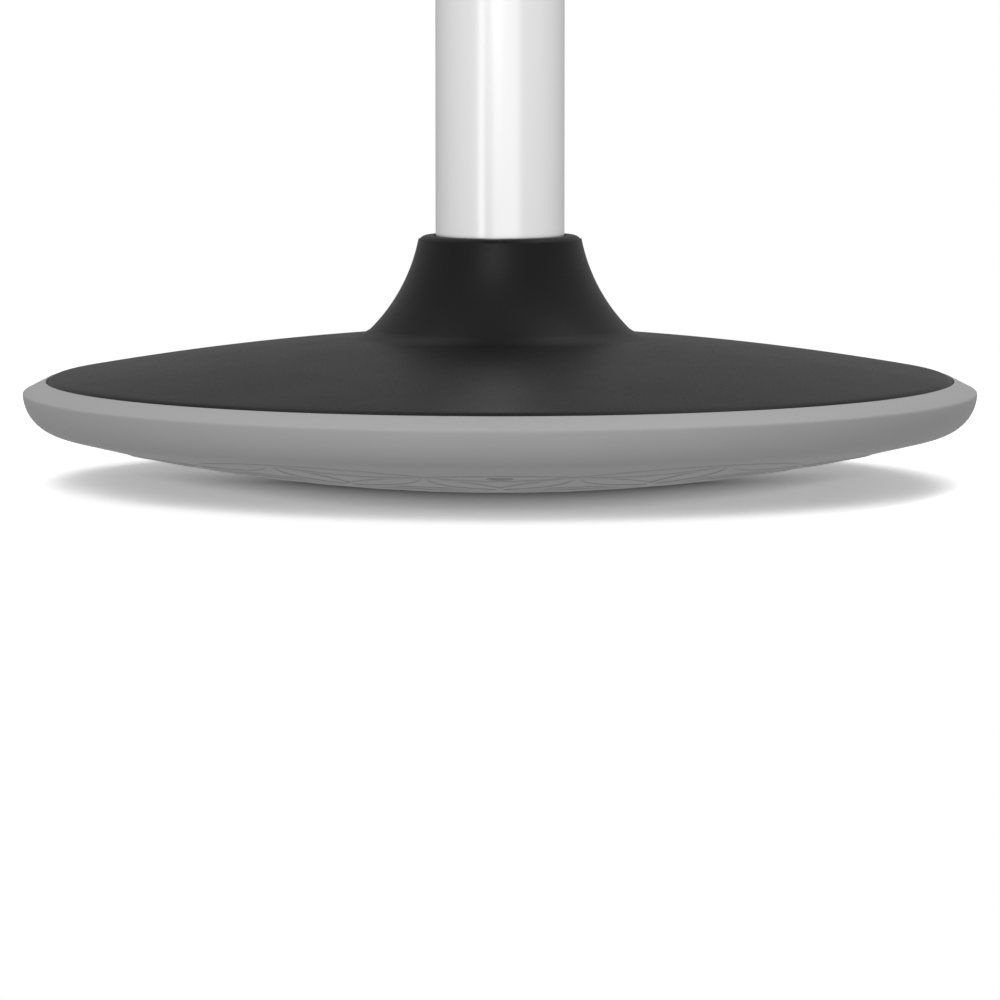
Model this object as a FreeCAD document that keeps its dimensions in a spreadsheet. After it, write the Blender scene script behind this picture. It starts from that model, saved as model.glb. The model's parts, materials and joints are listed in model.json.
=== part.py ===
import FreeCAD, Part
import math
import os
import types

import Sketcher

# A rocking stool: domed base, swivelling gas lift and round padded seat, shown at its lowest height.
# +Z is up, the origin is the middle of the flat on which the base rests, and sizes are in millimetres.

driving_sizes = {
    # Grey rocker pad
    "base_radius": 185,
    "dome_radius": 675,
    "bilge_radius": 15.5,
    "rest_flat_radius": 28,
    "rim_bevel_width": 9,
    "rim_bevel_height": 4.6,
    "pad_wall": 6,
    "pad_hub_radius": 24,
    "pad_hub_wall": 5,
    "pad_rib_thickness": 4,
    "pad_rib_count": 12,
    "cover_ledge_width": 6,
    "cover_ledge_depth": 6.5,
    "pad_floor_run": 8.5,
    # Screws that hold the pad, the plate and the cover together
    "screw_count": 6,
    "screw_radius": 2.2,
    "screw_head_radius": 4.2,
    "screw_head_height": 2.6,
    "screw_head_side": 0.9,
    "screw_head_flat_radius": 2.3,
    "screw_head_crown": 4.6,
    "screw_grip": 14,
    "screw_edge_distance": 7.5,
    "counterbore_radius": 5,
    "counterbore_web": 3.2,
    "pad_boss_radius": 8,
    "cover_boss_radius": 7,
    # Black cover
    "cover_wall": 3,
    "cover_rise": 16.6,
    "cover_crown_radius": 1250,
    "cover_edge_round": 4,
    "cover_edge_sink": 1,
    "cover_edge_rise": 2,
    "cover_edge_set": 2.7,
    "collar_land": 6.4,
    "collar_rise": 39.1,
    "collar_flare_width": 21.8,
    "collar_flare_radius": 68,
    "collar_lip": 4,
    "collar_top_round": 3,
    "shoulder_round": 5,
    "cover_rib_thickness": 2.4,
    "cover_rib_depth": 5,
    # Steel plate, socket, gussets and ballast
    "plate_thickness": 4,
    "plate_clearance": 1.5,
    "plate_edge_gap": 8,
    "plate_hole_radius": 15,
    "socket_wall": 3.6,
    "socket_top_gap": 3.5,
    "gusset_reach": 28,
    "gusset_height": 26,
    "gusset_toe": 5,
    "gusset_thickness": 4,
    "gusset_count": 4,
    "ballast_height": 13,
    "ballast_gap": 4,
    "ballast_chamfer": 2.5,
    "ballast_bolt_count": 3,
    "ballast_bolt_radius": 4,
    "ballast_bolt_head_radius": 7.5,
    "ballast_bolt_head_height": 5.3,
    # Column tube and its sleeve
    "tube_radius": 25,
    "tube_wall": 1.8,
    "tube_end_thickness": 3,
    "tube_foot_gap": 4,
    "tube_taper_lead": 4,
    "taper_slope": 0.025,
    "guide_length": 82,
    "guide_wall": 3,
    "guide_rib_count": 8,
    "guide_rib_thickness": 2,
    "guide_cap_height": 4,
    "guide_cap_round": 1.5,
    # Thrust bearing at the foot of the rod
    "race_thickness": 2,
    "race_radius": 14,
    "ball_radius": 1.6,
    "ball_circle_radius": 10,
    "ball_count": 12,
    "cage_thickness": 1,
    "cage_margin": 2.4,
    "clip_radius": 8,
    "clip_thickness": 1.2,
    "clip_mouth": 5,
    # Gas spring
    "lift_stroke": 254,
    "rod_radius": 5,
    "rod_step": 1,
    "rod_groove": 0.6,
    "bumper_height": 23,
    "bumper_inset": 2,
    "cylinder_radius": 14,
    "cylinder_wall": 1.5,
    "cylinder_lip": 2,
    "cylinder_taper_length": 60,
    "cylinder_end_thickness": 4,
    "end_guide_length": 24,
    "piston_height": 20,
    "piston_margin": 30,
    "piston_headroom": 44,
    "piston_seal_height": 4,
    "piston_seal_depth": 2.5,
    "valve_chamber_radius": 9.5,
    "valve_length": 32,
    "valve_pin_radius": 4,
    "valve_pin_depth": 20,
    "valve_pin_height": 8,
    "valve_pin_crown": 9,
    "valve_travel_room": 6,
    # Seat plate and release lever
    "seat_socket_wall": 5,
    "seat_socket_length": 48,
    "tub_sink": 6,
    "tub_depth": 30,
    "tub_half_width": 65,
    "tub_corner_radius": 16,
    "sheet_thickness": 2.5,
    "flange_half_width": 92.5,
    "bolt_half_spacing": 77.5,
    "seat_bolt_radius": 3,
    "seat_bolt_head_radius": 5.5,
    "seat_bolt_head_height": 4,
    "washer_radius": 7,
    "washer_thickness": 1.2,
    "lever_radius": 4,
    "lever_gap": 0.4,
    "lever_tail": 7,
    "lever_pivot_distance": 36,
    "lever_pivot_radius": 3,
    "lever_block_length": 16,
    "lever_block_height": 13,
    "lever_block_width": 12,
    "lever_ear_gap": 1,
    "lever_ear_thickness": 2.5,
    "lever_ear_radius": 7,
    "lever_slot_half_width": 7,
    "lever_slot_half_height": 9,
    "lever_bend_radius": 14,
    "lever_drop": 14,
    "lever_drop_start": 78,
    "lever_drop_run": 24,
    "lever_length": 164,
    "handle_start": 120,
    "handle_end": 178,
    "handle_root_half_width": 10,
    "handle_tip_half_width": 15,
    "handle_thickness": 11,
    "handle_round": 3.5,
    # Seat
    "seat_radius": 176,
    "shell_wall": 3.2,
    "shell_curve_radius": 26,
    "shell_inset": 5,
    "board_thickness": 12,
    "nut_barrel_radius": 4.2,
    "nut_flange_radius": 9,
    "nut_flange_thickness": 1.5,
    "cushion_side_height": 38,
    "cushion_crown": 13,
    "cushion_edge_round": 17,
    "cushion_belly_radius": 34,
    "seam_depth": 2.2,
    "seam_width": 5,
    "seam_set": 1,
    # Clearances
    "running_clearance": 0.05,
    "fixed_clearance": 0.02,
    "loose_clearance": 0.3,
    "collar_clearance": 0.6,
    "cut_margin": 1,
}

document = FreeCAD.newDocument("RockingStool")
sheet = document.addObject("Spreadsheet::Sheet", "Sizes")
for row, (size_name, size_value) in enumerate(driving_sizes.items(), start=1):
    sheet.set(f"A{row}", size_name)
    sheet.set(f"B{row}", str(size_value))
    sheet.setAlias(f"B{row}", size_name)
document.recompute()


class Size:
    """A number together with the spreadsheet formula that gives it."""

    def __init__(self, value, formula=None):
        self.value = float(value)
        self.formula = formula or str(float(value))

    def __add__(self, other):
        other = as_size(other)
        return Size(self.value + other.value, f"({self.formula} + {other.formula})")

    def __sub__(self, other):
        other = as_size(other)
        return Size(self.value - other.value, f"({self.formula} - {other.formula})")

    def __mul__(self, other):
        other = as_size(other)
        return Size(self.value * other.value, f"({self.formula} * {other.formula})")

    def __truediv__(self, other):
        other = as_size(other)
        return Size(self.value / other.value, f"({self.formula} / {other.formula})")

    def __rsub__(self, other):
        return as_size(other) - self

    def __neg__(self):
        return zero - self

    __radd__ = __add__
    __rmul__ = __mul__


def as_size(number):
    return number if isinstance(number, Size) else Size(number)


def root(number):
    return Size(math.sqrt(number.value), f"sqrt({number.formula})")


zero = Size(0)
left = 1
right = -1
edge_tolerance = 0.01
size = types.SimpleNamespace(**{name: Size(sheet.get(name), f"Sizes.{name}") for name in driving_sizes})


def arc_centre(start, end, radius, turn):
    """Give the centre of an arc from start to end that turns left (1) or right (-1)."""
    half_x = (end[0] - start[0]) / 2
    half_y = (end[1] - start[1]) / 2
    half_squared = half_x * half_x + half_y * half_y
    slant = root(radius * radius / half_squared - 1) * turn
    return (start[0] + half_x - half_y * slant, start[1] + half_y + half_x * slant)


def flat_vector(point):
    return FreeCAD.Vector(point[0].value, point[1].value, 0)


# Sketches and features

def new_body(label):
    body = document.addObject("PartDesign::Body", label)
    body.Label = label
    return body


def origin_part(body, role):
    return [part for part in body.Origin.OriginFeatures if part.Role == role][0]


def new_sketch(body, role, lift=None):
    """Put a sketch on one of the body's own planes, lifted along the plane's normal."""
    sketch = body.newObject("Sketcher::SketchObject", f"{body.Label}_sketch")
    sketch.AttachmentSupport = [(origin_part(body, role), "")]
    sketch.MapMode = "FlatFace"
    if lift is not None:
        sketch.setExpression("AttachmentOffset.Base.z", lift.formula)
    return sketch


def bind(sketch, constraint, distance):
    index = sketch.addConstraint(constraint)
    name = f"size_{index}"
    sketch.renameConstraint(index, name)
    sketch.setExpression(f"Constraints.{name}", distance.formula)


def hold(sketch, edge, end, point):
    """Fix one end of an edge, or a circle's centre, at its distances from the sketch's axes."""
    for kind, axis, distance in (("DistanceX", -2, point[0]), ("DistanceY", -1, point[1])):
        if distance.value == 0:
            sketch.addConstraint(Sketcher.Constraint("PointOnObject", edge, end, axis))
        else:
            bind(sketch, Sketcher.Constraint(kind, -1, 1, edge, end, distance.value), distance)


def draw_arc(sketch, start, end, radius, turn):
    """Draw an arc and return its number with the numbers of its first and last ends."""
    centre = flat_vector(arc_centre(start, end, radius, turn))
    spokes = [flat_vector(point) - centre for point in (start, end)]
    angles = [math.atan2(spoke.y, spoke.x) for spoke in spokes[::turn]]
    if angles[1] < angles[0]:
        angles[1] += 2 * math.pi
    ring = Part.Circle(centre, FreeCAD.Vector(0, 0, 1), radius.value)
    edge = sketch.addGeometry(Part.ArcOfCircle(ring, *angles))
    bind(sketch, Sketcher.Constraint("Radius", edge, radius.value), radius)
    return (edge, 1, 2) if turn == left else (edge, 2, 1)


def draw_path(sketch, points, closed=True):
    """Draw a path of lines and arcs and bind it to the sheet.

    A point is (x, y), or (x, y, radius, turn) where an arc leads on to the next point.
    """
    edges = []
    spans = len(points) if closed else len(points) - 1
    for number in range(spans):
        point = points[number]
        following = points[(number + 1) % len(points)]
        if len(point) == 2:
            line = Part.LineSegment(flat_vector(point), flat_vector(following))
            edges.append((sketch.addGeometry(line), 1, 2))
        else:
            edges.append(draw_arc(sketch, point, following, *point[2:]))
    for number, (edge, first, last) in enumerate(edges):
        hold(sketch, edge, first, points[number])
        if closed or number + 1 < spans:
            following, following_first, _ = edges[(number + 1) % spans]
            sketch.addConstraint(Sketcher.Constraint("Coincident", edge, last, following, following_first))
        else:
            hold(sketch, edge, last, points[spans])


def draw_circle(sketch, centre, radius):
    edge = sketch.addGeometry(Part.Circle(flat_vector(centre), FreeCAD.Vector(0, 0, 1), radius.value))
    bind(sketch, Sketcher.Constraint("Radius", edge, radius.value), radius)
    hold(sketch, edge, 3, centre)


def draw_rounded_square(sketch, half_width, corner):
    """Draw a square with round corners about the sketch's origin."""
    inner = half_width - corner
    draw_path(sketch, [
        (-inner, -half_width),
        (inner, -half_width, corner, left),
        (half_width, -inner),
        (half_width, inner, corner, left),
        (inner, half_width),
        (-inner, half_width, corner, left),
        (-half_width, inner),
        (-half_width, -inner, corner, left),
    ])


def square_corners(half_spacing):
    return [(half_spacing * x, half_spacing * y) for x in (-1, 1) for y in (-1, 1)]


def turned(label, points, plane="XZ_Plane", offset=None):
    """Turn a profile of (radius, height) points about the Z axis, or about an upright axis beside it."""
    body = new_body(label)
    add_turning(body, points, plane, offset)
    return body


def add_turning(body, points, plane="XZ_Plane", offset=None):
    sketch = new_sketch(body, plane)
    shift = zero if offset is None else offset
    draw_path(sketch, [(point[0] + shift, *point[1:]) for point in points])
    feature = body.newObject("PartDesign::Revolution", f"{body.Label}_turning")
    feature.Profile = sketch
    if offset is None:
        feature.ReferenceAxis = (origin_part(body, "Z_Axis"), [""])
    else:
        foot = (shift, points[0][1])
        axis = Part.LineSegment(flat_vector(foot), flat_vector((shift, foot[1] + 1)))
        edge = sketch.addGeometry(axis, True)
        hold(sketch, edge, 1, foot)
        hold(sketch, edge, 2, (shift, foot[1] + 1))
        feature.ReferenceAxis = (sketch, ["Axis0"])
    feature.Angle = 360
    return feature


def add_pad(body, sketch, length, symmetric=False, down=False):
    feature = body.newObject("PartDesign::Pad", f"{body.Label}_pad")
    feature.Profile = sketch
    feature.setExpression("Length", length.formula)
    feature.Midplane = symmetric
    feature.Reversed = down
    return feature


def add_pocket(body, sketch, length=None, symmetric=False, up=False):
    """Cut a sketch away for a length, or right through where no length is given."""
    feature = body.newObject("PartDesign::Pocket", f"{body.Label}_pocket")
    feature.Profile = sketch
    if length is None:
        feature.Type = "ThroughAll"
    else:
        feature.setExpression("Length", length.formula)
    feature.Midplane = symmetric
    feature.Reversed = up
    return feature


def ring_of(body, features, count):
    """Repeat features about the Z axis."""
    pattern = body.newObject("PartDesign::PolarPattern", f"{body.Label}_ring")
    pattern.Originals = features
    pattern.Axis = (origin_part(body, "Z_Axis"), [""])
    pattern.Angle = 360
    pattern.setExpression("Occurrences", count.formula)
    body.Tip = pattern
    return pattern


def add_rounding(body, kind, radius, chosen):
    """Round (Fillet) or bevel (Chamfer) the edges of the body so far that the test chooses."""
    document.recompute()
    base = body.Tip
    names = [f"Edge{number}" for number, edge in enumerate(base.Shape.Edges, start=1) if chosen(edge)]
    feature = body.newObject(f"PartDesign::{kind}", f"{body.Label}_{kind.lower()}")
    feature.Base = (base, names)
    feature.setExpression("Radius" if kind == "Fillet" else "Size", radius.formula)
    return feature


def is_ring(radius, level):
    """Choose the round edges of a radius at a level."""
    def chosen(edge):
        box = edge.BoundBox
        reach = max(abs(box.XMax), abs(box.XMin), abs(box.YMax), abs(box.YMin))
        level_gap = max(abs(box.ZMin - level.value), abs(box.ZMax - level.value))
        return abs(reach - radius.value) < edge_tolerance and level_gap < edge_tolerance
    return chosen


# Levels and radii that follow from the driving sizes

def pad_outside(radius):
    return dome_centre - root(size.dome_radius * size.dome_radius - radius * radius)


def pad_inside(radius):
    return dome_centre - root(pad_inside_radius * pad_inside_radius - radius * radius)


def cover_top(radius):
    reach = radius - crown_centre[0]
    return crown_centre[1] + root(size.cover_crown_radius * size.cover_crown_radius - reach * reach)


def tube_outside(level):
    return size.tube_radius - size.taper_slope * (tube_taper_top - level)


def cylinder_outside(level):
    return size.cylinder_radius - size.taper_slope * (level - cylinder_taper_low)


dome_centre = root(size.dome_radius * size.dome_radius - size.rest_flat_radius * size.rest_flat_radius)
pad_inside_radius = size.dome_radius - size.pad_wall
bilge_centre = size.base_radius - size.bilge_radius
bilge_reach = size.dome_radius - size.bilge_radius
bilge_drop = root(bilge_reach * bilge_reach - bilge_centre * bilge_centre)
crease_level = dome_centre - bilge_drop
dome_share = size.dome_radius / bilge_reach
lip_radius = size.base_radius - size.rim_bevel_width
lip_top = crease_level + size.rim_bevel_height
ledge_level = lip_top - size.cover_ledge_depth
ledge_inner = lip_radius - size.cover_ledge_width
pad_floor_edge = ledge_inner - size.pad_floor_run
plate_radius = pad_floor_edge - size.plate_edge_gap
plate_low = pad_inside(plate_radius) + size.plate_clearance
plate_top = plate_low + size.plate_thickness
screw_circle = plate_radius - size.screw_edge_distance
screw_seat = plate_low - size.counterbore_web
screw_hole_radius = size.screw_radius + size.loose_clearance
rib_reach = screw_circle - 2 * size.pad_boss_radius

cover_edge = lip_radius - size.loose_clearance
collar_bore = size.tube_radius + size.collar_clearance
collar_radius = size.tube_radius + size.collar_land
shoulder = (collar_radius + size.collar_flare_width, lip_top + size.cover_rise)
collar_top = shoulder[1] + size.collar_rise
cover_side_top = lip_top - size.cover_edge_sink
crown_edge = (cover_edge - size.cover_edge_set, cover_side_top + size.cover_edge_rise)
crown_centre = arc_centre(shoulder, crown_edge, size.cover_crown_radius, right)
flare_start = (collar_radius, collar_top)
flare_centre = arc_centre(flare_start, shoulder, size.collar_flare_radius, left)

socket_radius = size.tube_radius + size.socket_wall
socket_top = collar_top - size.collar_lip - size.socket_top_gap
tube_taper_top = socket_top + size.tube_taper_lead
tube_foot = plate_top + size.tube_foot_gap
tube_floor = tube_foot + size.tube_end_thickness
tube_bore = size.tube_radius - size.tube_wall
gusset_edge = socket_radius + size.gusset_reach
ballast_inner = gusset_edge + size.ballast_gap
ballast_outer = screw_circle - size.cover_boss_radius - size.ballast_gap
ballast_top = plate_top + size.ballast_height
ballast_bolt_circle = (ballast_inner + ballast_outer) / 2

rod_end_radius = size.rod_radius - size.rod_step
rod_groove_radius = rod_end_radius - size.rod_groove
lower_race_top = tube_floor + size.race_thickness
ball_level = lower_race_top + size.ball_radius + size.fixed_clearance
upper_race_low = ball_level + size.ball_radius + size.running_clearance
upper_race_top = upper_race_low + size.race_thickness
clip_top = tube_foot - size.loose_clearance
clip_low = clip_top - size.clip_thickness
rod_foot = clip_low - size.clip_thickness

cylinder_low = upper_race_top + size.bumper_height + 2 * size.loose_clearance
cylinder_bore = size.cylinder_radius - size.cylinder_wall
bumper_radius = size.cylinder_radius - size.bumper_inset
end_guide_top = cylinder_low + size.cylinder_lip + size.end_guide_length
tube_top = cylinder_low + size.lift_stroke + size.guide_length
piston_low = end_guide_top + size.lift_stroke + size.piston_margin
piston_top = piston_low + size.piston_height
piston_radius = cylinder_bore - size.loose_clearance
seal_low = (piston_low + piston_top - size.piston_seal_height) / 2
seal_high = seal_low + size.piston_seal_height
seal_groove = piston_radius - size.piston_seal_depth
valve_low = piston_top + size.piston_headroom
valve_top = valve_low + size.valve_length
cylinder_top = valve_top + size.cylinder_end_thickness
cylinder_taper_low = cylinder_top - size.cylinder_taper_length
pin_top = cylinder_top + size.valve_pin_height
pin_low = cylinder_top - size.valve_pin_depth

tub_low = cylinder_top - size.tub_sink
tub_floor = tub_low + size.sheet_thickness
flange_top = tub_low + size.tub_depth
flange_low = flange_top - size.sheet_thickness
seat_socket_low = cylinder_top - size.seat_socket_length
seat_socket_radius = size.cylinder_radius + size.seat_socket_wall
lever_level = pin_top + size.lever_gap + size.lever_radius
lever_low_level = lever_level - size.lever_drop
bolt_head_top = flange_low - size.washer_thickness

shell_radius = size.seat_radius - size.shell_inset
shell_flat = shell_radius - size.shell_curve_radius
shell_floor = flange_top + size.shell_wall
shell_rim = flange_top + size.shell_curve_radius
board_top = shell_floor + size.board_thickness
cushion_low = board_top + size.loose_clearance
cushion_shoulder = shell_rim + size.cushion_side_height
cushion_top = cushion_shoulder + size.cushion_edge_round + size.cushion_crown


# Rocker base

def make_rocker_pad():
    """Grey rolling pad: shell, hub, ribs and screw bosses under the steel plate."""
    hub_outer = size.pad_hub_radius + size.pad_hub_wall
    body = turned("rocker_pad", [
        (zero, zero),
        (size.rest_flat_radius, zero, size.dome_radius, left),
        (bilge_centre * dome_share, dome_centre - bilge_drop * dome_share, size.bilge_radius, left),
        (size.base_radius, crease_level),
        (lip_radius, lip_top),
        (lip_radius, ledge_level),
        (ledge_inner, ledge_level),
        (pad_floor_edge, pad_inside(pad_floor_edge), pad_inside_radius, right),
        (hub_outer, pad_inside(hub_outer)),
        (hub_outer, plate_low),
        (size.pad_hub_radius, plate_low),
        (size.pad_hub_radius, pad_inside(size.pad_hub_radius), pad_inside_radius, right),
        (zero, pad_inside(zero)),
    ])
    rib_start = size.pad_hub_radius + size.pad_hub_wall / 2
    half_wall = size.pad_wall / 2
    rib_sketch = new_sketch(body, "XZ_Plane")
    draw_path(rib_sketch, [
        (rib_start, pad_inside(rib_start) - half_wall),
        (rib_reach, pad_inside(rib_reach) - half_wall),
        (rib_reach, plate_low),
        (rib_start, plate_low),
    ])
    rib = add_pad(body, rib_sketch, size.pad_rib_thickness, symmetric=True)
    ring_of(body, [rib], size.pad_rib_count)
    boss_foot = (pad_outside(screw_circle + size.pad_boss_radius)
                 + pad_inside(screw_circle - size.pad_boss_radius)) / 2
    boss_sketch = new_sketch(body, "XY_Plane", plate_low)
    draw_circle(boss_sketch, (zero, screw_circle), size.pad_boss_radius)
    boss = add_pad(body, boss_sketch, plate_low - boss_foot, down=True)
    ring_of(body, [boss], size.screw_count)
    bore_sketch = new_sketch(body, "XY_Plane", screw_seat)
    draw_circle(bore_sketch, (zero, screw_circle), size.counterbore_radius)
    counterbore = add_pocket(body, bore_sketch)
    hole_sketch = new_sketch(body, "XY_Plane", plate_low)
    draw_circle(hole_sketch, (zero, screw_circle), screw_hole_radius)
    hole = add_pocket(body, hole_sketch)
    ring_of(body, [counterbore, hole], size.screw_count)
    return body


def make_pad_screws():
    """Pan-headed screws, driven up through the pad and the plate into the cover's bosses."""
    head_low = screw_seat - size.screw_head_height
    body = turned("pad_screws", [
        (zero, head_low),
        (size.screw_head_flat_radius, head_low, size.screw_head_crown, left),
        (size.screw_head_radius, screw_seat - size.screw_head_side),
        (size.screw_head_radius, screw_seat),
        (size.screw_radius, screw_seat),
        (size.screw_radius, plate_top + size.screw_grip - size.screw_radius),
        (zero, plate_top + size.screw_grip),
    ], "YZ_Plane", screw_circle)
    ring_of(body, [body.Tip], size.screw_count)
    return body


def make_base_cover():
    """Black shell: trumpet collar, low crowned skirt, screw bosses and stiffening ribs inside."""
    wall = size.cover_wall
    flare_inward = [(shoulder[axis] - flare_centre[axis]) / size.collar_flare_radius for axis in (0, 1)]
    crown_inward = [(crown_centre[axis] - shoulder[axis]) / size.cover_crown_radius for axis in (0, 1)]
    meeting = 1 + flare_inward[0] * crown_inward[0] + flare_inward[1] * crown_inward[1]
    inner_shoulder = [shoulder[axis] + wall * (flare_inward[axis] + crown_inward[axis]) / meeting
                      for axis in (0, 1)]
    lip_low = collar_top - size.collar_lip
    inner_edge = cover_edge - wall
    body = turned("base_cover", [
        (collar_bore, collar_top),
        (*flare_start, size.collar_flare_radius, left),
        (*shoulder, size.cover_crown_radius, right),
        (*crown_edge, size.cover_edge_round, right),
        (cover_edge, cover_side_top),
        (cover_edge, ledge_level),
        (inner_edge, ledge_level),
        (inner_edge, cover_top(inner_edge) - wall, size.cover_crown_radius - wall, left),
        (*inner_shoulder, size.collar_flare_radius + wall, right),
        (collar_radius - wall, lip_low),
        (collar_bore, lip_low),
    ])
    add_rounding(body, "Fillet", size.collar_top_round, is_ring(collar_radius, collar_top))
    add_rounding(body, "Fillet", size.shoulder_round, is_ring(*shoulder))
    near = screw_circle - size.cover_boss_radius
    far = screw_circle + size.cover_boss_radius
    boss_top = (cover_top(near) + cover_top(far) - wall) / 2
    boss_sketch = new_sketch(body, "XY_Plane", plate_top)
    draw_circle(boss_sketch, (zero, screw_circle), size.cover_boss_radius)
    boss = add_pad(body, boss_sketch, boss_top - plate_top)
    ring_of(body, [boss], size.screw_count)
    rib_start = shoulder[0] + size.shoulder_round
    half_wall = wall / 2
    rib_sketch = new_sketch(body, "XZ_Plane")
    draw_path(rib_sketch, [
        (rib_start, cover_top(rib_start) - half_wall - size.cover_rib_depth),
        (far, cover_top(far) - half_wall - size.cover_rib_depth),
        (far, cover_top(far) - half_wall),
        (rib_start, cover_top(rib_start) - half_wall),
    ])
    rib = add_pad(body, rib_sketch, size.cover_rib_thickness, symmetric=True)
    ring_of(body, [rib], size.screw_count)
    pilot_sketch = new_sketch(body, "XY_Plane", plate_top)
    draw_circle(pilot_sketch, (zero, screw_circle), size.screw_radius + size.running_clearance)
    pilot = add_pocket(body, pilot_sketch, size.screw_grip + size.running_clearance, up=True)
    ring_of(body, [pilot], size.screw_count)
    return body


def make_base_plate():
    """Steel disc that spreads the column's load over the pad."""
    body = turned("base_plate", [
        (size.plate_hole_radius, plate_low),
        (plate_radius, plate_low),
        (plate_radius, plate_top),
        (size.plate_hole_radius, plate_top),
    ])
    hole_sketch = new_sketch(body, "XY_Plane", plate_top)
    draw_circle(hole_sketch, (zero, screw_circle), screw_hole_radius)
    ring_of(body, [add_pocket(body, hole_sketch)], size.screw_count)
    bolt_sketch = new_sketch(body, "XY_Plane", plate_top)
    draw_circle(bolt_sketch, (zero, ballast_bolt_circle), size.ballast_bolt_radius + size.running_clearance)
    ring_of(body, [add_pocket(body, bolt_sketch)], size.ballast_bolt_count)
    return body


def make_column_socket():
    """Welded steel socket with the column's taper."""
    return turned("column_socket", [
        (tube_outside(plate_top), plate_top),
        (socket_radius, plate_top),
        (socket_radius, socket_top),
        (tube_outside(socket_top), socket_top),
    ])


def make_socket_gussets():
    """Four welded webs between the socket and the plate."""
    body = new_body("socket_gussets")
    sketch = new_sketch(body, "XZ_Plane")
    draw_path(sketch, [
        (socket_radius, plate_top),
        (gusset_edge, plate_top),
        (gusset_edge, plate_top + size.gusset_toe),
        (socket_radius + size.gusset_toe, plate_top + size.gusset_height),
        (socket_radius, plate_top + size.gusset_height),
    ])
    ring_of(body, [add_pad(body, sketch, size.gusset_thickness, symmetric=True)], size.gusset_count)
    return body


def make_ballast_ring():
    """Cast-iron weight that keeps the stool upright."""
    body = turned("ballast_ring", [
        (ballast_inner, plate_top),
        (ballast_outer, plate_top),
        (ballast_outer, ballast_top),
        (ballast_inner, ballast_top),
    ])
    add_rounding(body, "Chamfer", size.ballast_chamfer, is_ring(ballast_outer, ballast_top))
    add_rounding(body, "Chamfer", size.ballast_chamfer, is_ring(ballast_inner, ballast_top))
    sketch = new_sketch(body, "XY_Plane", ballast_top)
    draw_circle(sketch, (zero, ballast_bolt_circle), size.ballast_bolt_radius + size.loose_clearance)
    ring_of(body, [add_pocket(body, sketch)], size.ballast_bolt_count)
    return body


def make_ballast_bolts():
    """Hexagon bolts that hold the weight on the plate."""
    body = new_body("ballast_bolts")
    head_sketch = new_sketch(body, "XY_Plane", ballast_top)
    corners = [math.radians(60 * number) for number in range(6)]
    draw_path(head_sketch, [
        (size.ballast_bolt_head_radius * math.cos(corner),
         ballast_bolt_circle + size.ballast_bolt_head_radius * math.sin(corner))
        for corner in corners
    ])
    head = add_pad(body, head_sketch, size.ballast_bolt_head_height)
    shank_sketch = new_sketch(body, "XY_Plane", ballast_top)
    draw_circle(shank_sketch, (zero, ballast_bolt_circle), size.ballast_bolt_radius)
    shank = add_pad(body, shank_sketch, ballast_top - plate_low, down=True)
    ring_of(body, [head, shank], size.ballast_bolt_count)
    return body


# Column and thrust bearing

def make_column_tube():
    """Silver outer tube, tapered at the foot and closed by a floor with a hole for the rod."""
    floor_hole = rod_end_radius + size.loose_clearance
    return turned("column_tube", [
        (floor_hole, tube_foot),
        (tube_outside(tube_foot), tube_foot),
        (size.tube_radius, tube_taper_top),
        (size.tube_radius, tube_top),
        (tube_bore, tube_top),
        (tube_bore, tube_taper_top),
        (tube_outside(tube_floor) - size.tube_wall, tube_floor),
        (floor_hole, tube_floor),
    ])


def make_guide_sleeve():
    """Plastic sleeve that steadies the gas cylinder, with ribs to the tube and a cap on its end."""
    bore = size.cylinder_radius + size.running_clearance
    outer = tube_bore - size.fixed_clearance
    low = tube_top - size.guide_length + size.cylinder_lip
    foot_top = low + size.guide_cap_height
    cap_top = tube_top + size.guide_cap_height
    wall_outer = bore + size.guide_wall
    body = turned("guide_sleeve", [
        (bore, low),
        (outer, low),
        (outer, foot_top),
        (wall_outer, foot_top),
        (wall_outer, tube_top - size.guide_cap_height),
        (outer, tube_top - size.guide_cap_height),
        (outer, tube_top),
        (size.tube_radius, tube_top),
        (size.tube_radius, cap_top),
        (bore, cap_top),
    ])
    add_rounding(body, "Fillet", size.guide_cap_round, is_ring(size.tube_radius, cap_top))
    sketch = new_sketch(body, "XZ_Plane")
    draw_path(sketch, [
        (wall_outer - size.guide_wall / 2, foot_top),
        (outer - size.guide_rib_thickness / 2, foot_top),
        (outer - size.guide_rib_thickness / 2, tube_top - size.guide_cap_height),
        (wall_outer - size.guide_wall / 2, tube_top - size.guide_cap_height),
    ])
    rib = add_pad(body, sketch, size.guide_rib_thickness, symmetric=True)
    ring_of(body, [rib], size.guide_rib_count)
    return body


def make_race(label, low, bore):
    """Flat hardened washer of the thrust bearing."""
    return turned(label, [
        (bore, low),
        (size.race_radius, low),
        (size.race_radius, low + size.race_thickness),
        (bore, low + size.race_thickness),
    ])


def make_bearing_balls():
    """Balls that carry the seat's turning load."""
    body = turned("bearing_balls", [
        (zero, ball_level - size.ball_radius, size.ball_radius, left),
        (size.ball_radius, ball_level, size.ball_radius, left),
        (zero, ball_level + size.ball_radius),
    ], offset=size.ball_circle_radius)
    ring_of(body, [body.Tip], size.ball_count)
    return body


def make_ball_cage():
    """Thin ring that spaces the balls."""
    inner = size.ball_circle_radius - size.cage_margin
    outer = size.ball_circle_radius + size.cage_margin
    low = ball_level - size.cage_thickness / 2
    high = ball_level + size.cage_thickness / 2
    body = turned("ball_cage", [
        (inner, low),
        (outer, low),
        (outer, high),
        (inner, high),
    ])
    sketch = new_sketch(body, "XY_Plane", high)
    draw_circle(sketch, (size.ball_circle_radius, zero), size.ball_radius + size.running_clearance)
    ring_of(body, [add_pocket(body, sketch)], size.ball_count)
    return body


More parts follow.
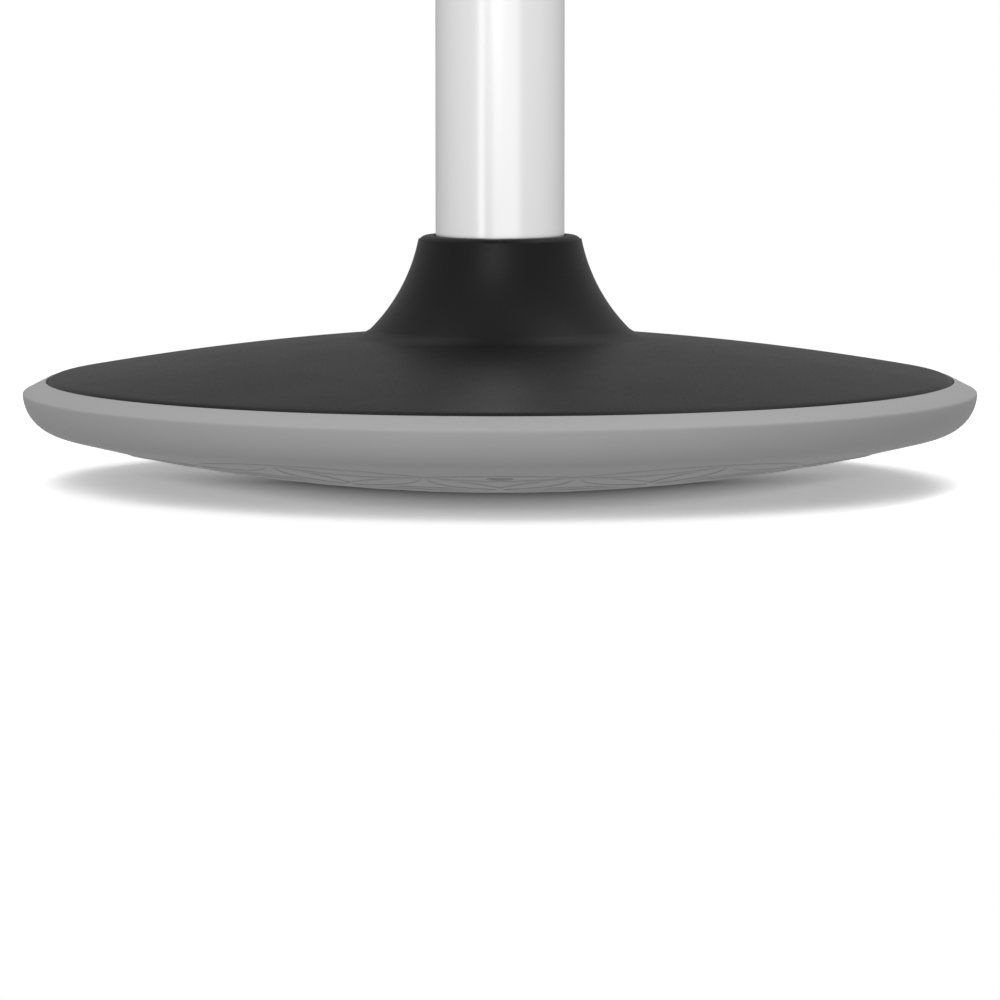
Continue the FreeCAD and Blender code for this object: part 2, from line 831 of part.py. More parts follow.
def make_rod_clip():
    """Open spring clip in the rod's groove, under the tube's floor."""
    bore = rod_groove_radius + size.fixed_clearance
    body = turned("rod_clip", [
        (bore, clip_low),
        (size.clip_radius, clip_low),
        (size.clip_radius, clip_top),
        (bore, clip_top),
    ])
    half_mouth = size.clip_mouth / 2
    past_rim = size.clip_radius + size.cut_margin
    sketch = new_sketch(body, "XY_Plane", clip_top)
    draw_path(sketch, [
        (zero, -half_mouth),
        (past_rim, -half_mouth),
        (past_rim, half_mouth),
        (zero, half_mouth),
    ])
    add_pocket(body, sketch)
    return body


# Gas spring

def make_piston_rod():
    """Bright rod: grooved foot for the clip, shoulder on the upper race, spigot for the piston."""
    return turned("piston_rod", [
        (zero, rod_foot),
        (rod_end_radius, rod_foot),
        (rod_end_radius, clip_low),
        (rod_groove_radius, clip_low),
        (rod_groove_radius, clip_top),
        (rod_end_radius, clip_top),
        (rod_end_radius, upper_race_top),
        (size.rod_radius, upper_race_top),
        (size.rod_radius, piston_low),
        (rod_end_radius, piston_low),
        (rod_end_radius, piston_top),
        (zero, piston_top),
    ])


def make_rod_bumper():
    """Rubber buffer that stops the cylinder at the bottom of its travel."""
    bore = size.rod_radius + size.loose_clearance
    low = upper_race_top + size.loose_clearance
    high = low + size.bumper_height
    return turned("rod_bumper", [
        (bore, low),
        (bumper_radius, low, size.bumper_height, right),
        (bumper_radius, high),
        (bore, high),
    ])


def make_piston():
    """Piston with a groove for its seal."""
    bore = rod_end_radius + size.fixed_clearance
    return turned("piston", [
        (bore, piston_low),
        (piston_radius, piston_low),
        (piston_radius, seal_low),
        (seal_groove, seal_low),
        (seal_groove, seal_high),
        (piston_radius, seal_high),
        (piston_radius, piston_top),
        (bore, piston_top),
    ])


def make_piston_seal():
    """Rubber ring that slides in the cylinder."""
    low = seal_low + size.fixed_clearance
    high = seal_high - size.fixed_clearance
    inner = seal_groove + size.fixed_clearance
    outer = cylinder_bore - size.running_clearance
    return turned("piston_seal", [(inner, low), (outer, low), (outer, high), (inner, high)])


def make_pressure_cylinder():
    """Black gas cylinder, rolled in at the foot and tapered at the head for the seat's socket."""
    pin_hole = size.valve_pin_radius + size.running_clearance
    lip = cylinder_bore - size.cylinder_lip
    lip_top_level = cylinder_low + size.cylinder_lip
    return turned("pressure_cylinder", [
        (lip, cylinder_low),
        (size.cylinder_radius, cylinder_low),
        (size.cylinder_radius, cylinder_taper_low),
        (cylinder_outside(cylinder_top), cylinder_top),
        (pin_hole, cylinder_top),
        (pin_hole, valve_top),
        (size.valve_chamber_radius, valve_top),
        (size.valve_chamber_radius, cylinder_taper_low),
        (cylinder_bore, cylinder_taper_low - size.cylinder_wall),
        (cylinder_bore, lip_top_level),
        (lip, lip_top_level),
    ])


def make_end_guide():
    """Guide and gland at the cylinder's foot, through which the rod slides."""
    low = cylinder_low + size.cylinder_lip
    bore = size.rod_radius + size.running_clearance
    outer = cylinder_bore - size.fixed_clearance
    return turned("end_guide", [(bore, low), (outer, low), (outer, end_guide_top), (bore, end_guide_top)])


def make_valve_body():
    """Valve block that seals the cylinder's head around the pin."""
    outer = size.valve_chamber_radius - size.fixed_clearance
    bore = size.valve_pin_radius + size.running_clearance
    blind = pin_low - size.valve_travel_room
    return turned("valve_body", [
        (zero, valve_low),
        (outer, valve_low),
        (outer, valve_top),
        (bore, valve_top),
        (bore, blind),
        (zero, blind),
    ])


def make_valve_button():
    """Pin that opens the gas valve when the lever presses it."""
    crown_drop = size.valve_pin_crown - root(size.valve_pin_crown * size.valve_pin_crown
                                             - size.valve_pin_radius * size.valve_pin_radius)
    return turned("valve_button", [
        (zero, pin_low),
        (size.valve_pin_radius, pin_low),
        (size.valve_pin_radius, pin_top - crown_drop, size.valve_pin_crown, left),
        (zero, pin_top),
    ])


# Seat plate and lever

def make_seat_socket():
    """Tapered socket on the gas cylinder's head."""
    return turned("seat_socket", [
        (cylinder_outside(seat_socket_low), seat_socket_low),
        (seat_socket_radius, seat_socket_low),
        (seat_socket_radius, cylinder_top),
        (cylinder_outside(cylinder_top), cylinder_top),
    ])


def make_seat_plate():
    """Pressed steel tub with a bolting flange, a hole for the socket and a slot for the lever."""
    body = new_body("seat_plate")
    tub_sketch = new_sketch(body, "XY_Plane", tub_low)
    draw_rounded_square(tub_sketch, size.tub_half_width, size.tub_corner_radius)
    add_pad(body, tub_sketch, size.tub_depth)
    flange_sketch = new_sketch(body, "XY_Plane", flange_low)
    draw_rounded_square(flange_sketch, size.flange_half_width, size.tub_corner_radius)
    add_pad(body, flange_sketch, size.sheet_thickness)
    inside_sketch = new_sketch(body, "XY_Plane", flange_top)
    draw_rounded_square(inside_sketch, size.tub_half_width - size.sheet_thickness,
                        size.tub_corner_radius - size.sheet_thickness)
    add_pocket(body, inside_sketch, size.tub_depth - size.sheet_thickness)
    hole_sketch = new_sketch(body, "XY_Plane", flange_top)
    draw_circle(hole_sketch, (zero, zero), seat_socket_radius + size.fixed_clearance)
    for corner in square_corners(size.bolt_half_spacing):
        draw_circle(hole_sketch, corner, size.seat_bolt_radius + size.loose_clearance)
    add_pocket(body, hole_sketch)
    slot_sketch = new_sketch(body, "YZ_Plane", size.tub_half_width + size.cut_margin)
    slot_low = lever_level - size.lever_slot_half_height
    slot_high = lever_level + size.lever_slot_half_height
    draw_path(slot_sketch, [
        (-size.lever_slot_half_width, slot_low),
        (size.lever_slot_half_width, slot_low),
        (size.lever_slot_half_width, slot_high),
        (-size.lever_slot_half_width, slot_high),
    ])
    add_pocket(body, slot_sketch, size.sheet_thickness + 2 * size.cut_margin)
    return body


def make_lever_bracket():
    """Folded bracket on the tub's floor, with two ears for the lever's pivot."""
    body = new_body("lever_bracket")
    pivot = size.lever_pivot_distance
    ear_inner = size.lever_block_width / 2 + size.lever_ear_gap
    ear_outer = ear_inner + size.lever_ear_thickness
    ear_sketch = new_sketch(body, "XZ_Plane")
    draw_path(ear_sketch, [
        (pivot - size.lever_ear_radius, tub_floor),
        (pivot + size.lever_ear_radius, tub_floor),
        (pivot + size.lever_ear_radius, lever_level, size.lever_ear_radius, left),
        (pivot, lever_level + size.lever_ear_radius, size.lever_ear_radius, left),
        (pivot - size.lever_ear_radius, lever_level),
    ])
    add_pad(body, ear_sketch, 2 * ear_outer, symmetric=True)
    gap_sketch = new_sketch(body, "XZ_Plane")
    reach = size.lever_ear_radius + size.cut_margin
    draw_path(gap_sketch, [
        (pivot - reach, tub_floor + size.lever_ear_thickness),
        (pivot + reach, tub_floor + size.lever_ear_thickness),
        (pivot + reach, lever_level + reach),
        (pivot - reach, lever_level + reach),
    ])
    add_pocket(body, gap_sketch, 2 * ear_inner, symmetric=True)
    hole_sketch = new_sketch(body, "XZ_Plane")
    draw_circle(hole_sketch, (pivot, lever_level), size.lever_pivot_radius + size.running_clearance)
    add_pocket(body, hole_sketch, 2 * (ear_outer + size.cut_margin), symmetric=True)
    return body


def make_lever_pivot():
    """Block on the lever rod with a stub axle in each ear."""
    body = new_body("lever_pivot")
    pivot = size.lever_pivot_distance
    half_length = size.lever_block_length / 2
    half_height = size.lever_block_height / 2
    block_sketch = new_sketch(body, "XZ_Plane")
    draw_path(block_sketch, [
        (pivot - half_length, lever_level - half_height),
        (pivot + half_length, lever_level - half_height),
        (pivot + half_length, lever_level + half_height),
        (pivot - half_length, lever_level + half_height),
    ])
    add_pad(body, block_sketch, size.lever_block_width, symmetric=True)
    axle_sketch = new_sketch(body, "XZ_Plane")
    draw_circle(axle_sketch, (pivot, lever_level), size.lever_pivot_radius)
    axle_length = size.lever_block_width + 2 * (size.lever_ear_gap + size.lever_ear_thickness)
    add_pad(body, axle_sketch, axle_length, symmetric=True)
    bore_sketch = new_sketch(body, "YZ_Plane", pivot)
    draw_circle(bore_sketch, (zero, lever_level), size.lever_radius + size.fixed_clearance)
    add_pocket(body, bore_sketch, size.lever_block_length + 2 * size.cut_margin, symmetric=True)
    return body


def make_lever_rod():
    """Bent round rod from the valve pin, out under the seat, to the handle."""
    body = new_body("lever_rod")
    slant = root(size.lever_drop * size.lever_drop + size.lever_drop_run * size.lever_drop_run)
    tangent = size.lever_bend_radius * (slant - size.lever_drop_run) / size.lever_drop
    along = size.lever_drop_run / slant
    down = size.lever_drop / slant
    start = size.lever_drop_start
    finish = start + size.lever_drop_run
    path_sketch = new_sketch(body, "XZ_Plane")
    draw_path(path_sketch, [
        (-size.lever_tail, lever_level),
        (start - tangent, lever_level, size.lever_bend_radius, right),
        (start + tangent * along, lever_level - tangent * down),
        (finish - tangent * along, lever_low_level + tangent * down, size.lever_bend_radius, left),
        (finish + tangent, lever_low_level),
        (size.lever_length, lever_low_level),
    ], closed=False)
    round_sketch = new_sketch(body, "YZ_Plane", -size.lever_tail)
    draw_circle(round_sketch, (zero, lever_level), size.lever_radius)
    pipe = body.newObject("PartDesign::AdditivePipe", "lever_rod_pipe")
    pipe.Profile = round_sketch
    pipe.Spine = path_sketch
    return body


def make_lever_handle():
    """Flat paddle on the end of the lever, widening to a round tip."""
    body = new_body("lever_handle")
    half_root = size.handle_root_half_width
    half_tip = size.handle_tip_half_width
    tip_start = size.handle_end - half_tip
    plan_sketch = new_sketch(body, "XY_Plane", lever_low_level)
    draw_path(plan_sketch, [
        (size.handle_start, -half_root),
        (tip_start, -half_tip, half_tip, left),
        (size.handle_end, zero, half_tip, left),
        (tip_start, half_tip),
        (size.handle_start, half_root),
    ])
    add_pad(body, plan_sketch, size.handle_thickness, symmetric=True)
    top = lever_low_level + size.handle_thickness / 2
    bottom = lever_low_level - size.handle_thickness / 2

    def is_rim(edge):
        box = edge.BoundBox
        level = box.ZMin
        flat = box.ZLength < edge_tolerance
        return flat and min(abs(level - top.value), abs(level - bottom.value)) < edge_tolerance

    add_rounding(body, "Fillet", size.handle_round, is_rim)
    bore_sketch = new_sketch(body, "YZ_Plane", size.handle_start)
    draw_circle(bore_sketch, (zero, lever_low_level), size.lever_radius + size.fixed_clearance)
    bore_depth = size.lever_length + size.loose_clearance - size.handle_start
    add_pocket(body, bore_sketch, bore_depth, up=True)
    return body


# Seat

def make_seat_shell():
    """Black dished pan under the cushion, with holes for the seat bolts."""
    inner_curve = size.shell_curve_radius - size.shell_wall
    body = turned("seat_shell", [
        (zero, flange_top),
        (shell_flat, flange_top, size.shell_curve_radius, left),
        (shell_radius, shell_rim),
        (shell_radius - size.shell_wall, shell_rim, inner_curve, right),
        (shell_flat, shell_floor),
        (zero, shell_floor),
    ])
    sketch = new_sketch(body, "XY_Plane", shell_floor)
    for corner in square_corners(size.bolt_half_spacing):
        draw_circle(sketch, corner, size.seat_bolt_radius + size.loose_clearance)
    add_pocket(body, sketch)
    return body


def make_seat_board():
    """Plywood disc that holds the seat's nuts, sunk flush in its top."""
    body = turned("seat_board", [
        (zero, shell_floor),
        (shell_flat, shell_floor),
        (shell_flat, board_top),
        (zero, board_top),
    ])
    hole_sketch = new_sketch(body, "XY_Plane", board_top)
    sink_sketch = new_sketch(body, "XY_Plane", board_top)
    for corner in square_corners(size.bolt_half_spacing):
        draw_circle(hole_sketch, corner, size.nut_barrel_radius + size.fixed_clearance)
        draw_circle(sink_sketch, corner, size.nut_flange_radius + size.loose_clearance)
    add_pocket(body, hole_sketch)
    add_pocket(body, sink_sketch, size.nut_flange_thickness)
    return body


def make_seat_nuts():
    """Four flanged nuts let into the board."""
    body = new_body("seat_nuts")
    flange_sketch = new_sketch(body, "XY_Plane", board_top)
    barrel_sketch = new_sketch(body, "XY_Plane", board_top)
    bore_sketch = new_sketch(body, "XY_Plane", board_top)
    for corner in square_corners(size.bolt_half_spacing):
        draw_circle(flange_sketch, corner, size.nut_flange_radius)
        draw_circle(barrel_sketch, corner, size.nut_barrel_radius)
        draw_circle(bore_sketch, corner, size.seat_bolt_radius + size.running_clearance)
    add_pad(body, flange_sketch, size.nut_flange_thickness, down=True)
    add_pad(body, barrel_sketch, board_top - shell_floor - size.loose_clearance, down=True)
    add_pocket(body, bore_sketch)
    return body


def make_seat_washers():
    """Washers under the heads of the seat bolts."""
    body = new_body("seat_washers")
    sketch = new_sketch(body, "XY_Plane", bolt_head_top)
    for corner in square_corners(size.bolt_half_spacing):
        draw_circle(sketch, corner, size.washer_radius)
        draw_circle(sketch, corner, size.seat_bolt_radius + size.loose_clearance)
    add_pad(body, sketch, size.washer_thickness)
    return body


def make_seat_bolts():
    """Four bolts up through the flange and the shell into the nuts."""
    body = new_body("seat_bolts")
    head_sketch = new_sketch(body, "XY_Plane", bolt_head_top)
    shank_sketch = new_sketch(body, "XY_Plane", bolt_head_top)
    for corner in square_corners(size.bolt_half_spacing):
        draw_circle(head_sketch, corner, size.seat_bolt_head_radius)
        draw_circle(shank_sketch, corner, size.seat_bolt_radius)
    add_pad(body, head_sketch, size.seat_bolt_head_height, down=True)
    add_pad(body, shank_sketch, board_top - size.loose_clearance - bolt_head_top)
    return body


def make_seat_cushion():
    """Foam cushion: crowned top, rounded edge, side drawn in at the seam and again at the shell."""
    inner_curve = size.shell_curve_radius - size.shell_wall
    sunk = inner_curve - (cushion_low - shell_floor)
    foot_radius = shell_flat + root(inner_curve * inner_curve - sunk * sunk) - size.loose_clearance
    throat = shell_radius - size.shell_wall - size.loose_clearance
    over_rim = shell_rim + 2 * size.loose_clearance
    seam_edge = size.seat_radius - size.seam_set
    seam_radius = size.seat_radius - size.seam_depth
    seam_low = cushion_shoulder - size.seam_width / 2
    seam_high = cushion_shoulder + size.seam_width / 2
    crown_edge_radius = size.seat_radius - size.cushion_edge_round
    crown_edge_level = cushion_top - size.cushion_crown
    half_crown = size.cushion_crown / 2
    crown_radius = half_crown + crown_edge_radius * crown_edge_radius / (4 * half_crown)
    return turned("seat_cushion", [
        (zero, cushion_low),
        (foot_radius, cushion_low),
        (throat, shell_rim),
        (throat, over_rim),
        (shell_radius - size.seam_depth, over_rim, size.cushion_belly_radius, left),
        (seam_edge, seam_low),
        (seam_radius, cushion_shoulder),
        (seam_edge, seam_high, size.cushion_edge_round, left),
        (crown_edge_radius, crown_edge_level, crown_radius, left),
        (zero, cushion_top),
    ])


parts = [
    make_rocker_pad(),
    make_pad_screws(),
    make_base_cover(),
    make_base_plate(),
    make_column_socket(),
    make_socket_gussets(),
    make_ballast_ring(),
    make_ballast_bolts(),
    make_column_tube(),
    make_guide_sleeve(),
    make_race("lower_race", tube_floor, rod_end_radius + size.loose_clearance),
    make_race("upper_race", upper_race_low, rod_end_radius + size.fixed_clearance),
    make_bearing_balls(),
    make_ball_cage(),
    make_rod_clip(),
    make_piston_rod(),
    make_rod_bumper(),
    make_piston(),
    make_piston_seal(),
    make_pressure_cylinder(),
    make_end_guide(),
    make_valve_body(),
    make_valve_button(),
    make_seat_socket(),
    make_seat_plate(),
    make_lever_bracket(),
    make_lever_pivot(),
    make_lever_rod(),
    make_lever_handle(),
    make_seat_shell(),
    make_seat_board(),
    make_seat_nuts(),
    make_seat_washers(),
    make_seat_bolts(),
    make_seat_cushion(),
]
document.recompute()

failed = [item.Label for item in document.Objects if {"Invalid", "Error"} & set(item.State)]
failed += [part.Label for part in parts if part.Shape.isNull() or not part.Shape.isValid()]
if failed:
    raise RuntimeError(f"These objects did not build: {failed}")

os.makedirs("parts", exist_ok=True)
for part in parts:
    part.Shape.exportStep(f"parts/{part.Label}.step")
    box = part.Shape.BoundBox
    print(f"{part.Label}: {len(part.Shape.Solids)} solids, {part.Shape.Volume:.0f} mm3, "
          f"z {box.ZMin:.2f} to {box.ZMax:.2f}, x {box.XMin:.1f} to {box.XMax:.1f}")
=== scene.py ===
import json
import math

import bpy
from mathutils import Matrix, Vector


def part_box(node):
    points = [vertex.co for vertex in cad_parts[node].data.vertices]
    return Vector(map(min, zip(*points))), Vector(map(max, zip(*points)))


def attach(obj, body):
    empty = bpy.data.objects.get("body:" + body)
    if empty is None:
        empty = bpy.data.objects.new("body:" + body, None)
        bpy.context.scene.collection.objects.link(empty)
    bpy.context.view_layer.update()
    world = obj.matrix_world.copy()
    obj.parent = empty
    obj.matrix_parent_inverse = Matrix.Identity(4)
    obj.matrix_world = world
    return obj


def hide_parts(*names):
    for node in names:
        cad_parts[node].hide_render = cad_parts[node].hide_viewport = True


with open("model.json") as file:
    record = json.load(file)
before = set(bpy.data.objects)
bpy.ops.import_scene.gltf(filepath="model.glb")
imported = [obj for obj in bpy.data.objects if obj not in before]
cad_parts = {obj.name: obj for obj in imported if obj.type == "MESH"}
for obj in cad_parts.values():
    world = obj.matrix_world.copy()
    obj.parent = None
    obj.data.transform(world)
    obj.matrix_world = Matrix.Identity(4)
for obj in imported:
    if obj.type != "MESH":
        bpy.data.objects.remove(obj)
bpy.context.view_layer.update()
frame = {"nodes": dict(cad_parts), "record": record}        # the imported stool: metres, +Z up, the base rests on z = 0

mm = 0.001
sameSpot = 0.001 * mm      # points this close are one point
fullTurn = 2 * math.pi
sixthTurn = fullTurn / 6
rootThree = math.sqrt(3)
left, right = 1, -1      # which way an arc of an outline bends


# Node maths: a wire is a socket, and sums on wires add Math nodes

class Wire:
    def __init__(self, tree, socket=None):
        self.tree = tree
        self.socket = socket

    def node(self, kind, sockets=None, output=0, **settings):
        made = self.tree.nodes.new(kind)
        for key, value in settings.items():
            if key == "stops":
                fillRamp(made.color_ramp.elements, value)
            else:
                setattr(made, key, value)
        for key, value in (sockets or {}).items():
            if isinstance(value, Wire):
                self.tree.links.new(value.socket, made.inputs[key])
            else:
                made.inputs[key].default_value = value
        return Wire(self.tree, made.outputs[output]) if len(made.outputs) else None

    def maths(self, operation, first, second):
        return self.node("ShaderNodeMath", {0: first, 1: second}, operation=operation)

    def __add__(self, other):
        return self.maths("ADD", self, other)

    def __sub__(self, other):
        return self.maths("SUBTRACT", self, other)

    def __rsub__(self, other):
        return self.maths("SUBTRACT", other, self)

    def __mul__(self, other):
        return self.maths("MULTIPLY", self, other)

    def __truediv__(self, other):
        return self.maths("DIVIDE", self, other)

    def __gt__(self, other):
        return self.maths("GREATER_THAN", self, other)

    __radd__ = __add__
    __rmul__ = __mul__

    def __neg__(self):
        return self * -1

    def __abs__(self):
        return self.maths("ABSOLUTE", self, 0)

    def sine(self):
        return self.maths("SINE", self, 0)

    def most(self, other):
        return self.maths("MAXIMUM", self, other)

    def mix(self, first, second):      # colours, by this wire from 0 to 1
        return self.node("ShaderNodeMix", {0: self, 6: first, 7: second}, 2, data_type="RGBA")

    def greys(self, low, high):
        return self.mix(grey(low), grey(high))

    def ramp(self, stops):      # greys at places along this wire
        return self.node("ShaderNodeValToRGB", {"Fac": self}, stops=stops)

    def part(self, axis):
        return self.node("ShaderNodeSeparateXYZ", {"Vector": self}, axis)

    def stretch(self, scale):
        return self.node("ShaderNodeMapping", {"Vector": self, "Scale": scale})

    def noise(self, scale, detail=2.0, rough=0.5):
        sockets = {"Vector": self, "Scale": scale, "Detail": detail, "Roughness": rough}
        return self.node("ShaderNodeTexNoise", sockets)

    def bump(self, strength, depth):
        return self.node("ShaderNodeBump", {"Height": self, "Strength": strength, "Distance": depth})

    def ray(self, kind):      # 1 where the light path is of this kind
        return self.node("ShaderNodeLightPath", output=f"Is {kind} Ray")


def grey(tone):
    return (tone, tone, tone, 1)


def fillRamp(elements, stops):
    while len(elements) < len(stops):
        elements.new(0.5)      # moved to its place below
    for element, (position, tone) in zip(elements, stops):
        element.position = position
        element.color = grey(tone)


def startFinish(name):      # a material, and the place on the piece as a wire
    material = bpy.data.materials.new(name)
    material.use_nodes = True
    material.node_tree.nodes.clear()
    return material, Wire(material.node_tree).node("ShaderNodeTexCoord", output="Object")


def closeFinish(material, sockets):
    wire = Wire(material.node_tree)
    shader = wire.node("ShaderNodeBsdfPrincipled", sockets)
    wire.node("ShaderNodeOutputMaterial", {"Surface": shader})
    return material


# Finishes: a noise is scale, detail and roughness, a bump is strength and depth

rubberLook = {
    "tone": (0.305, 0.33), "mottle": (22, 4, 0.6), "grain": (2400, 3, 0.6), "bump": (0.35, 0.12 * mm),
    "roughness": 0.45, "mottleRough": 0.12, "grainRough": 0.08, "shine": 0.3,
}


def makeGreyRubber():
    look = rubberLook
    material, place = startFinish("greyRubber")
    mottle = place.noise(*look["mottle"])
    grain = place.noise(*look["grain"])
    return closeFinish(material, {
        "Base Color": mottle.greys(*look["tone"]),
        "Roughness": mottle * look["mottleRough"] + grain * look["grainRough"] + look["roughness"],
        "Specular IOR Level": look["shine"],
        "Normal": grain.bump(*look["bump"]),
    })


plasticLook = {
    "tone": (0.004, 0.007), "pits": 1500, "grain": (2400, 3, 0.6), "cloud": (30, 3),
    "grainBump": 0.6, "bump": (0.4, 0.09 * mm),
    "roughness": 0.35, "cloudRough": 0.1, "pitRough": 0.12, "shine": 0.11,
}


def makeBlackPlastic():
    look = plasticLook
    material, place = startFinish("blackPlastic")
    sockets = {"Vector": place, "Scale": look["pits"]}
    pits = place.node("ShaderNodeTexVoronoi", sockets, feature="SMOOTH_F1")
    grain = place.noise(*look["grain"])
    cloud = place.noise(*look["cloud"])
    return closeFinish(material, {
        "Base Color": cloud.greys(*look["tone"]),
        "Roughness": cloud * look["cloudRough"] + pits * look["pitRough"] + look["roughness"],
        "Specular IOR Level": look["shine"],
        "Normal": (pits + grain * look["grainBump"]).bump(*look["bump"]),
    })


silverLook = {
    "tone": (0.72, 0.75), "flake": (5200, 2, 0.7), "stretch": (900, 900, 6), "drawn": (1, 3),
    "cloud": (14, 3), "flakeTone": 0.6, "drawnTone": 0.4, "flakeBump": 0.5, "bump": (0.03, 0.03 * mm),
    "metal": 0.45, "roughness": 0.19, "cloudRough": 0.06, "drawnRough": 0.06,
}


def makeSilverPaint():
    look = silverLook
    material, place = startFinish("silverPaint")
    flake = place.noise(*look["flake"])
    drawn = place.stretch(look["stretch"]).noise(*look["drawn"])
    cloud = place.noise(*look["cloud"])
    return closeFinish(material, {
        "Base Color": (flake * look["flakeTone"] + drawn * look["drawnTone"]).greys(*look["tone"]),
        "Metallic": look["metal"],
        "Roughness": cloud * look["cloudRough"] + drawn * look["drawnRough"] + look["roughness"],
        "Normal": (drawn + flake * look["flakeBump"]).bump(*look["bump"]),
    })


paintLook = {
    "tone": (0.018, 0.03), "peel": (420, 2), "cloud": (40, 3), "bump": (0.12, 0.1 * mm),
    "roughness": 0.31, "cloudRough": 0.14, "shine": 0.45,
}


def makeBlackPaint():
    look = paintLook
    material, place = startFinish("blackPaint")
    peel = place.noise(*look["peel"])
    cloud = place.noise(*look["cloud"])
    return closeFinish(material, {
        "Base Color": cloud.greys(*look["tone"]),
        "Roughness": cloud * look["cloudRough"] + look["roughness"],
        "Specular IOR Level": look["shine"],
        "Normal": peel.bump(*look["bump"]),
    })


steelLook = {
    "brush": (1, 4, 0.6), "cloud": (60, 3), "brushTone": 0.5, "cloudTone": 0.5, "bump": (0.15, 0.05 * mm),
    "metal": 1.0, "brushRough": 0.18, "cloudRough": 0.1,
}
brightLook = {"tone": (0.52, 0.66), "roughness": 0.06, "stretch": (700, 700, 60)}      # ground
plainLook = {"tone": (0.28, 0.44), "roughness": 0.28, "stretch": (60, 700, 60)}      # rolled sheet


def makeSteel(name, kindLook):      # any steel, with its own tones and brush marks
    look = steelLook | kindLook
    material, place = startFinish(name)
    brush = place.stretch(look["stretch"]).noise(*look["brush"])
    cloud = place.noise(*look["cloud"])
    return closeFinish(material, {
        "Base Color": (brush * look["brushTone"] + cloud * look["cloudTone"]).greys(*look["tone"]),
        "Metallic": look["metal"],
        "Roughness": brush * look["brushRough"] + cloud * look["cloudRough"] + look["roughness"],
        "Normal": brush.bump(*look["bump"]),
    })


castLook = {
    "dark": (0.06, 0.06, 0.06, 1), "pale": (0.13, 0.115, 0.1, 1), "sand": (900, 5, 0.7), "cloud": (50, 4),
    "bump": (0.6, 0.3 * mm), "metal": 0.5, "roughness": 0.55, "sandRough": 0.2,
}


def makeCastWeight():
    look = castLook
    material, place = startFinish("castWeight")
    sand = place.noise(*look["sand"])
    cloud = place.noise(*look["cloud"])
    return closeFinish(material, {
        "Base Color": cloud.mix(look["dark"], look["pale"]),
        "Metallic": look["metal"],
        "Roughness": sand * look["sandRough"] + look["roughness"],
        "Normal": sand.bump(*look["bump"]),
    })


nylonLook = {
    "dark": (0.70, 0.70, 0.66, 1), "pale": (0.78, 0.78, 0.75, 1), "cloud": (90, 3), "grain": (2600, 2),
    "bump": (0.1, 0.05 * mm), "roughness": 0.38, "cloudRough": 0.1,
}


def makeWhiteNylon():
    look = nylonLook
    material, place = startFinish("whiteNylon")
    cloud = place.noise(*look["cloud"])
    grain = place.noise(*look["grain"])
    return closeFinish(material, {
        "Base Color": cloud.mix(look["dark"], look["pale"]),
        "Roughness": cloud * look["cloudRough"] + look["roughness"],
        "Normal": grain.bump(*look["bump"]),
    })


brassLook = {
    "dark": (0.60, 0.43, 0.18, 1), "pale": (0.74, 0.57, 0.29, 1), "rings": 900, "wander": 0.6,
    "cloud": (80, 3), "bump": (0.1, 0.03 * mm), "metal": 1.0, "roughness": 0.26, "cloudRough": 0.12,
}


def makeBrass():
    look = brassLook
    material, place = startFinish("turnedBrass")
    sockets = {"Vector": place, "Scale": look["rings"], "Distortion": look["wander"]}
    rings = place.node("ShaderNodeTexWave", sockets, bands_direction="Z")
    cloud = place.noise(*look["cloud"])
    return closeFinish(material, {
        "Base Color": cloud.mix(look["dark"], look["pale"]),
        "Metallic": look["metal"],
        "Roughness": cloud * look["cloudRough"] + look["roughness"],
        "Normal": rings.bump(*look["bump"]),
    })


bumperLook = {
    "tone": (0.016, 0.034), "grain": (1800, 3, 0.6), "cloud": (70, 3), "bump": (0.3, 0.1 * mm),
    "roughness": 0.65, "grainRough": 0.1,
}


def makeBlackRubber():
    look = bumperLook
    material, place = startFinish("blackRubber")
    grain = place.noise(*look["grain"])
    cloud = place.noise(*look["cloud"])
    return closeFinish(material, {
        "Base Color": cloud.greys(*look["tone"]),
        "Roughness": grain * look["grainRough"] + look["roughness"],
        "Normal": grain.bump(*look["bump"]),
    })


plyLook = {
    "layer": 2.4 * mm, "pale": (0.66, 0.50, 0.31, 1), "dark": (0.46, 0.31, 0.17, 1),
    "stretch": (30, 420, 420), "grain": (1, 5, 0.65), "grainTone": 0.7, "layerTone": 0.3,
    "bump": (0.25, 0.15 * mm), "roughness": 0.6, "grainRough": 0.15,
}


def makePlywood():
    look = plyLook
    material, place = startFinish("plywood")
    layers = (place.part("Z") * (math.pi / look["layer"])).sine() > 0
    grain = place.stretch(look["stretch"]).noise(*look["grain"])
    colour = grain * look["grainTone"] + layers * look["layerTone"]
    return closeFinish(material, {
        "Base Color": colour.mix(look["pale"], look["dark"]),
        "Roughness": grain * look["grainRough"] + look["roughness"],
        "Normal": grain.bump(*look["bump"]),
    })


fabricLook = {
    "thread": 1.7 * mm, "dark": (0.012, 0.012, 0.012, 1), "pale": (0.05, 0.05, 0.053, 1),
    "fuzz": (1900, 3, 0.7), "yarn": (480, 4, 0.75), "worn": (9, 2),
    "paintedThreadShade": 0.35, "yarnTone": 0.45, "wornTone": 0.2,
    "threadBump": 0.8, "fuzzBump": 0.4, "bump": (0.6, 0.35 * mm),
    "roughness": 0.85, "fuzzRough": 0.1, "shine": 0.2, "sheen": 0.25, "sheenRough": 0.5,
}


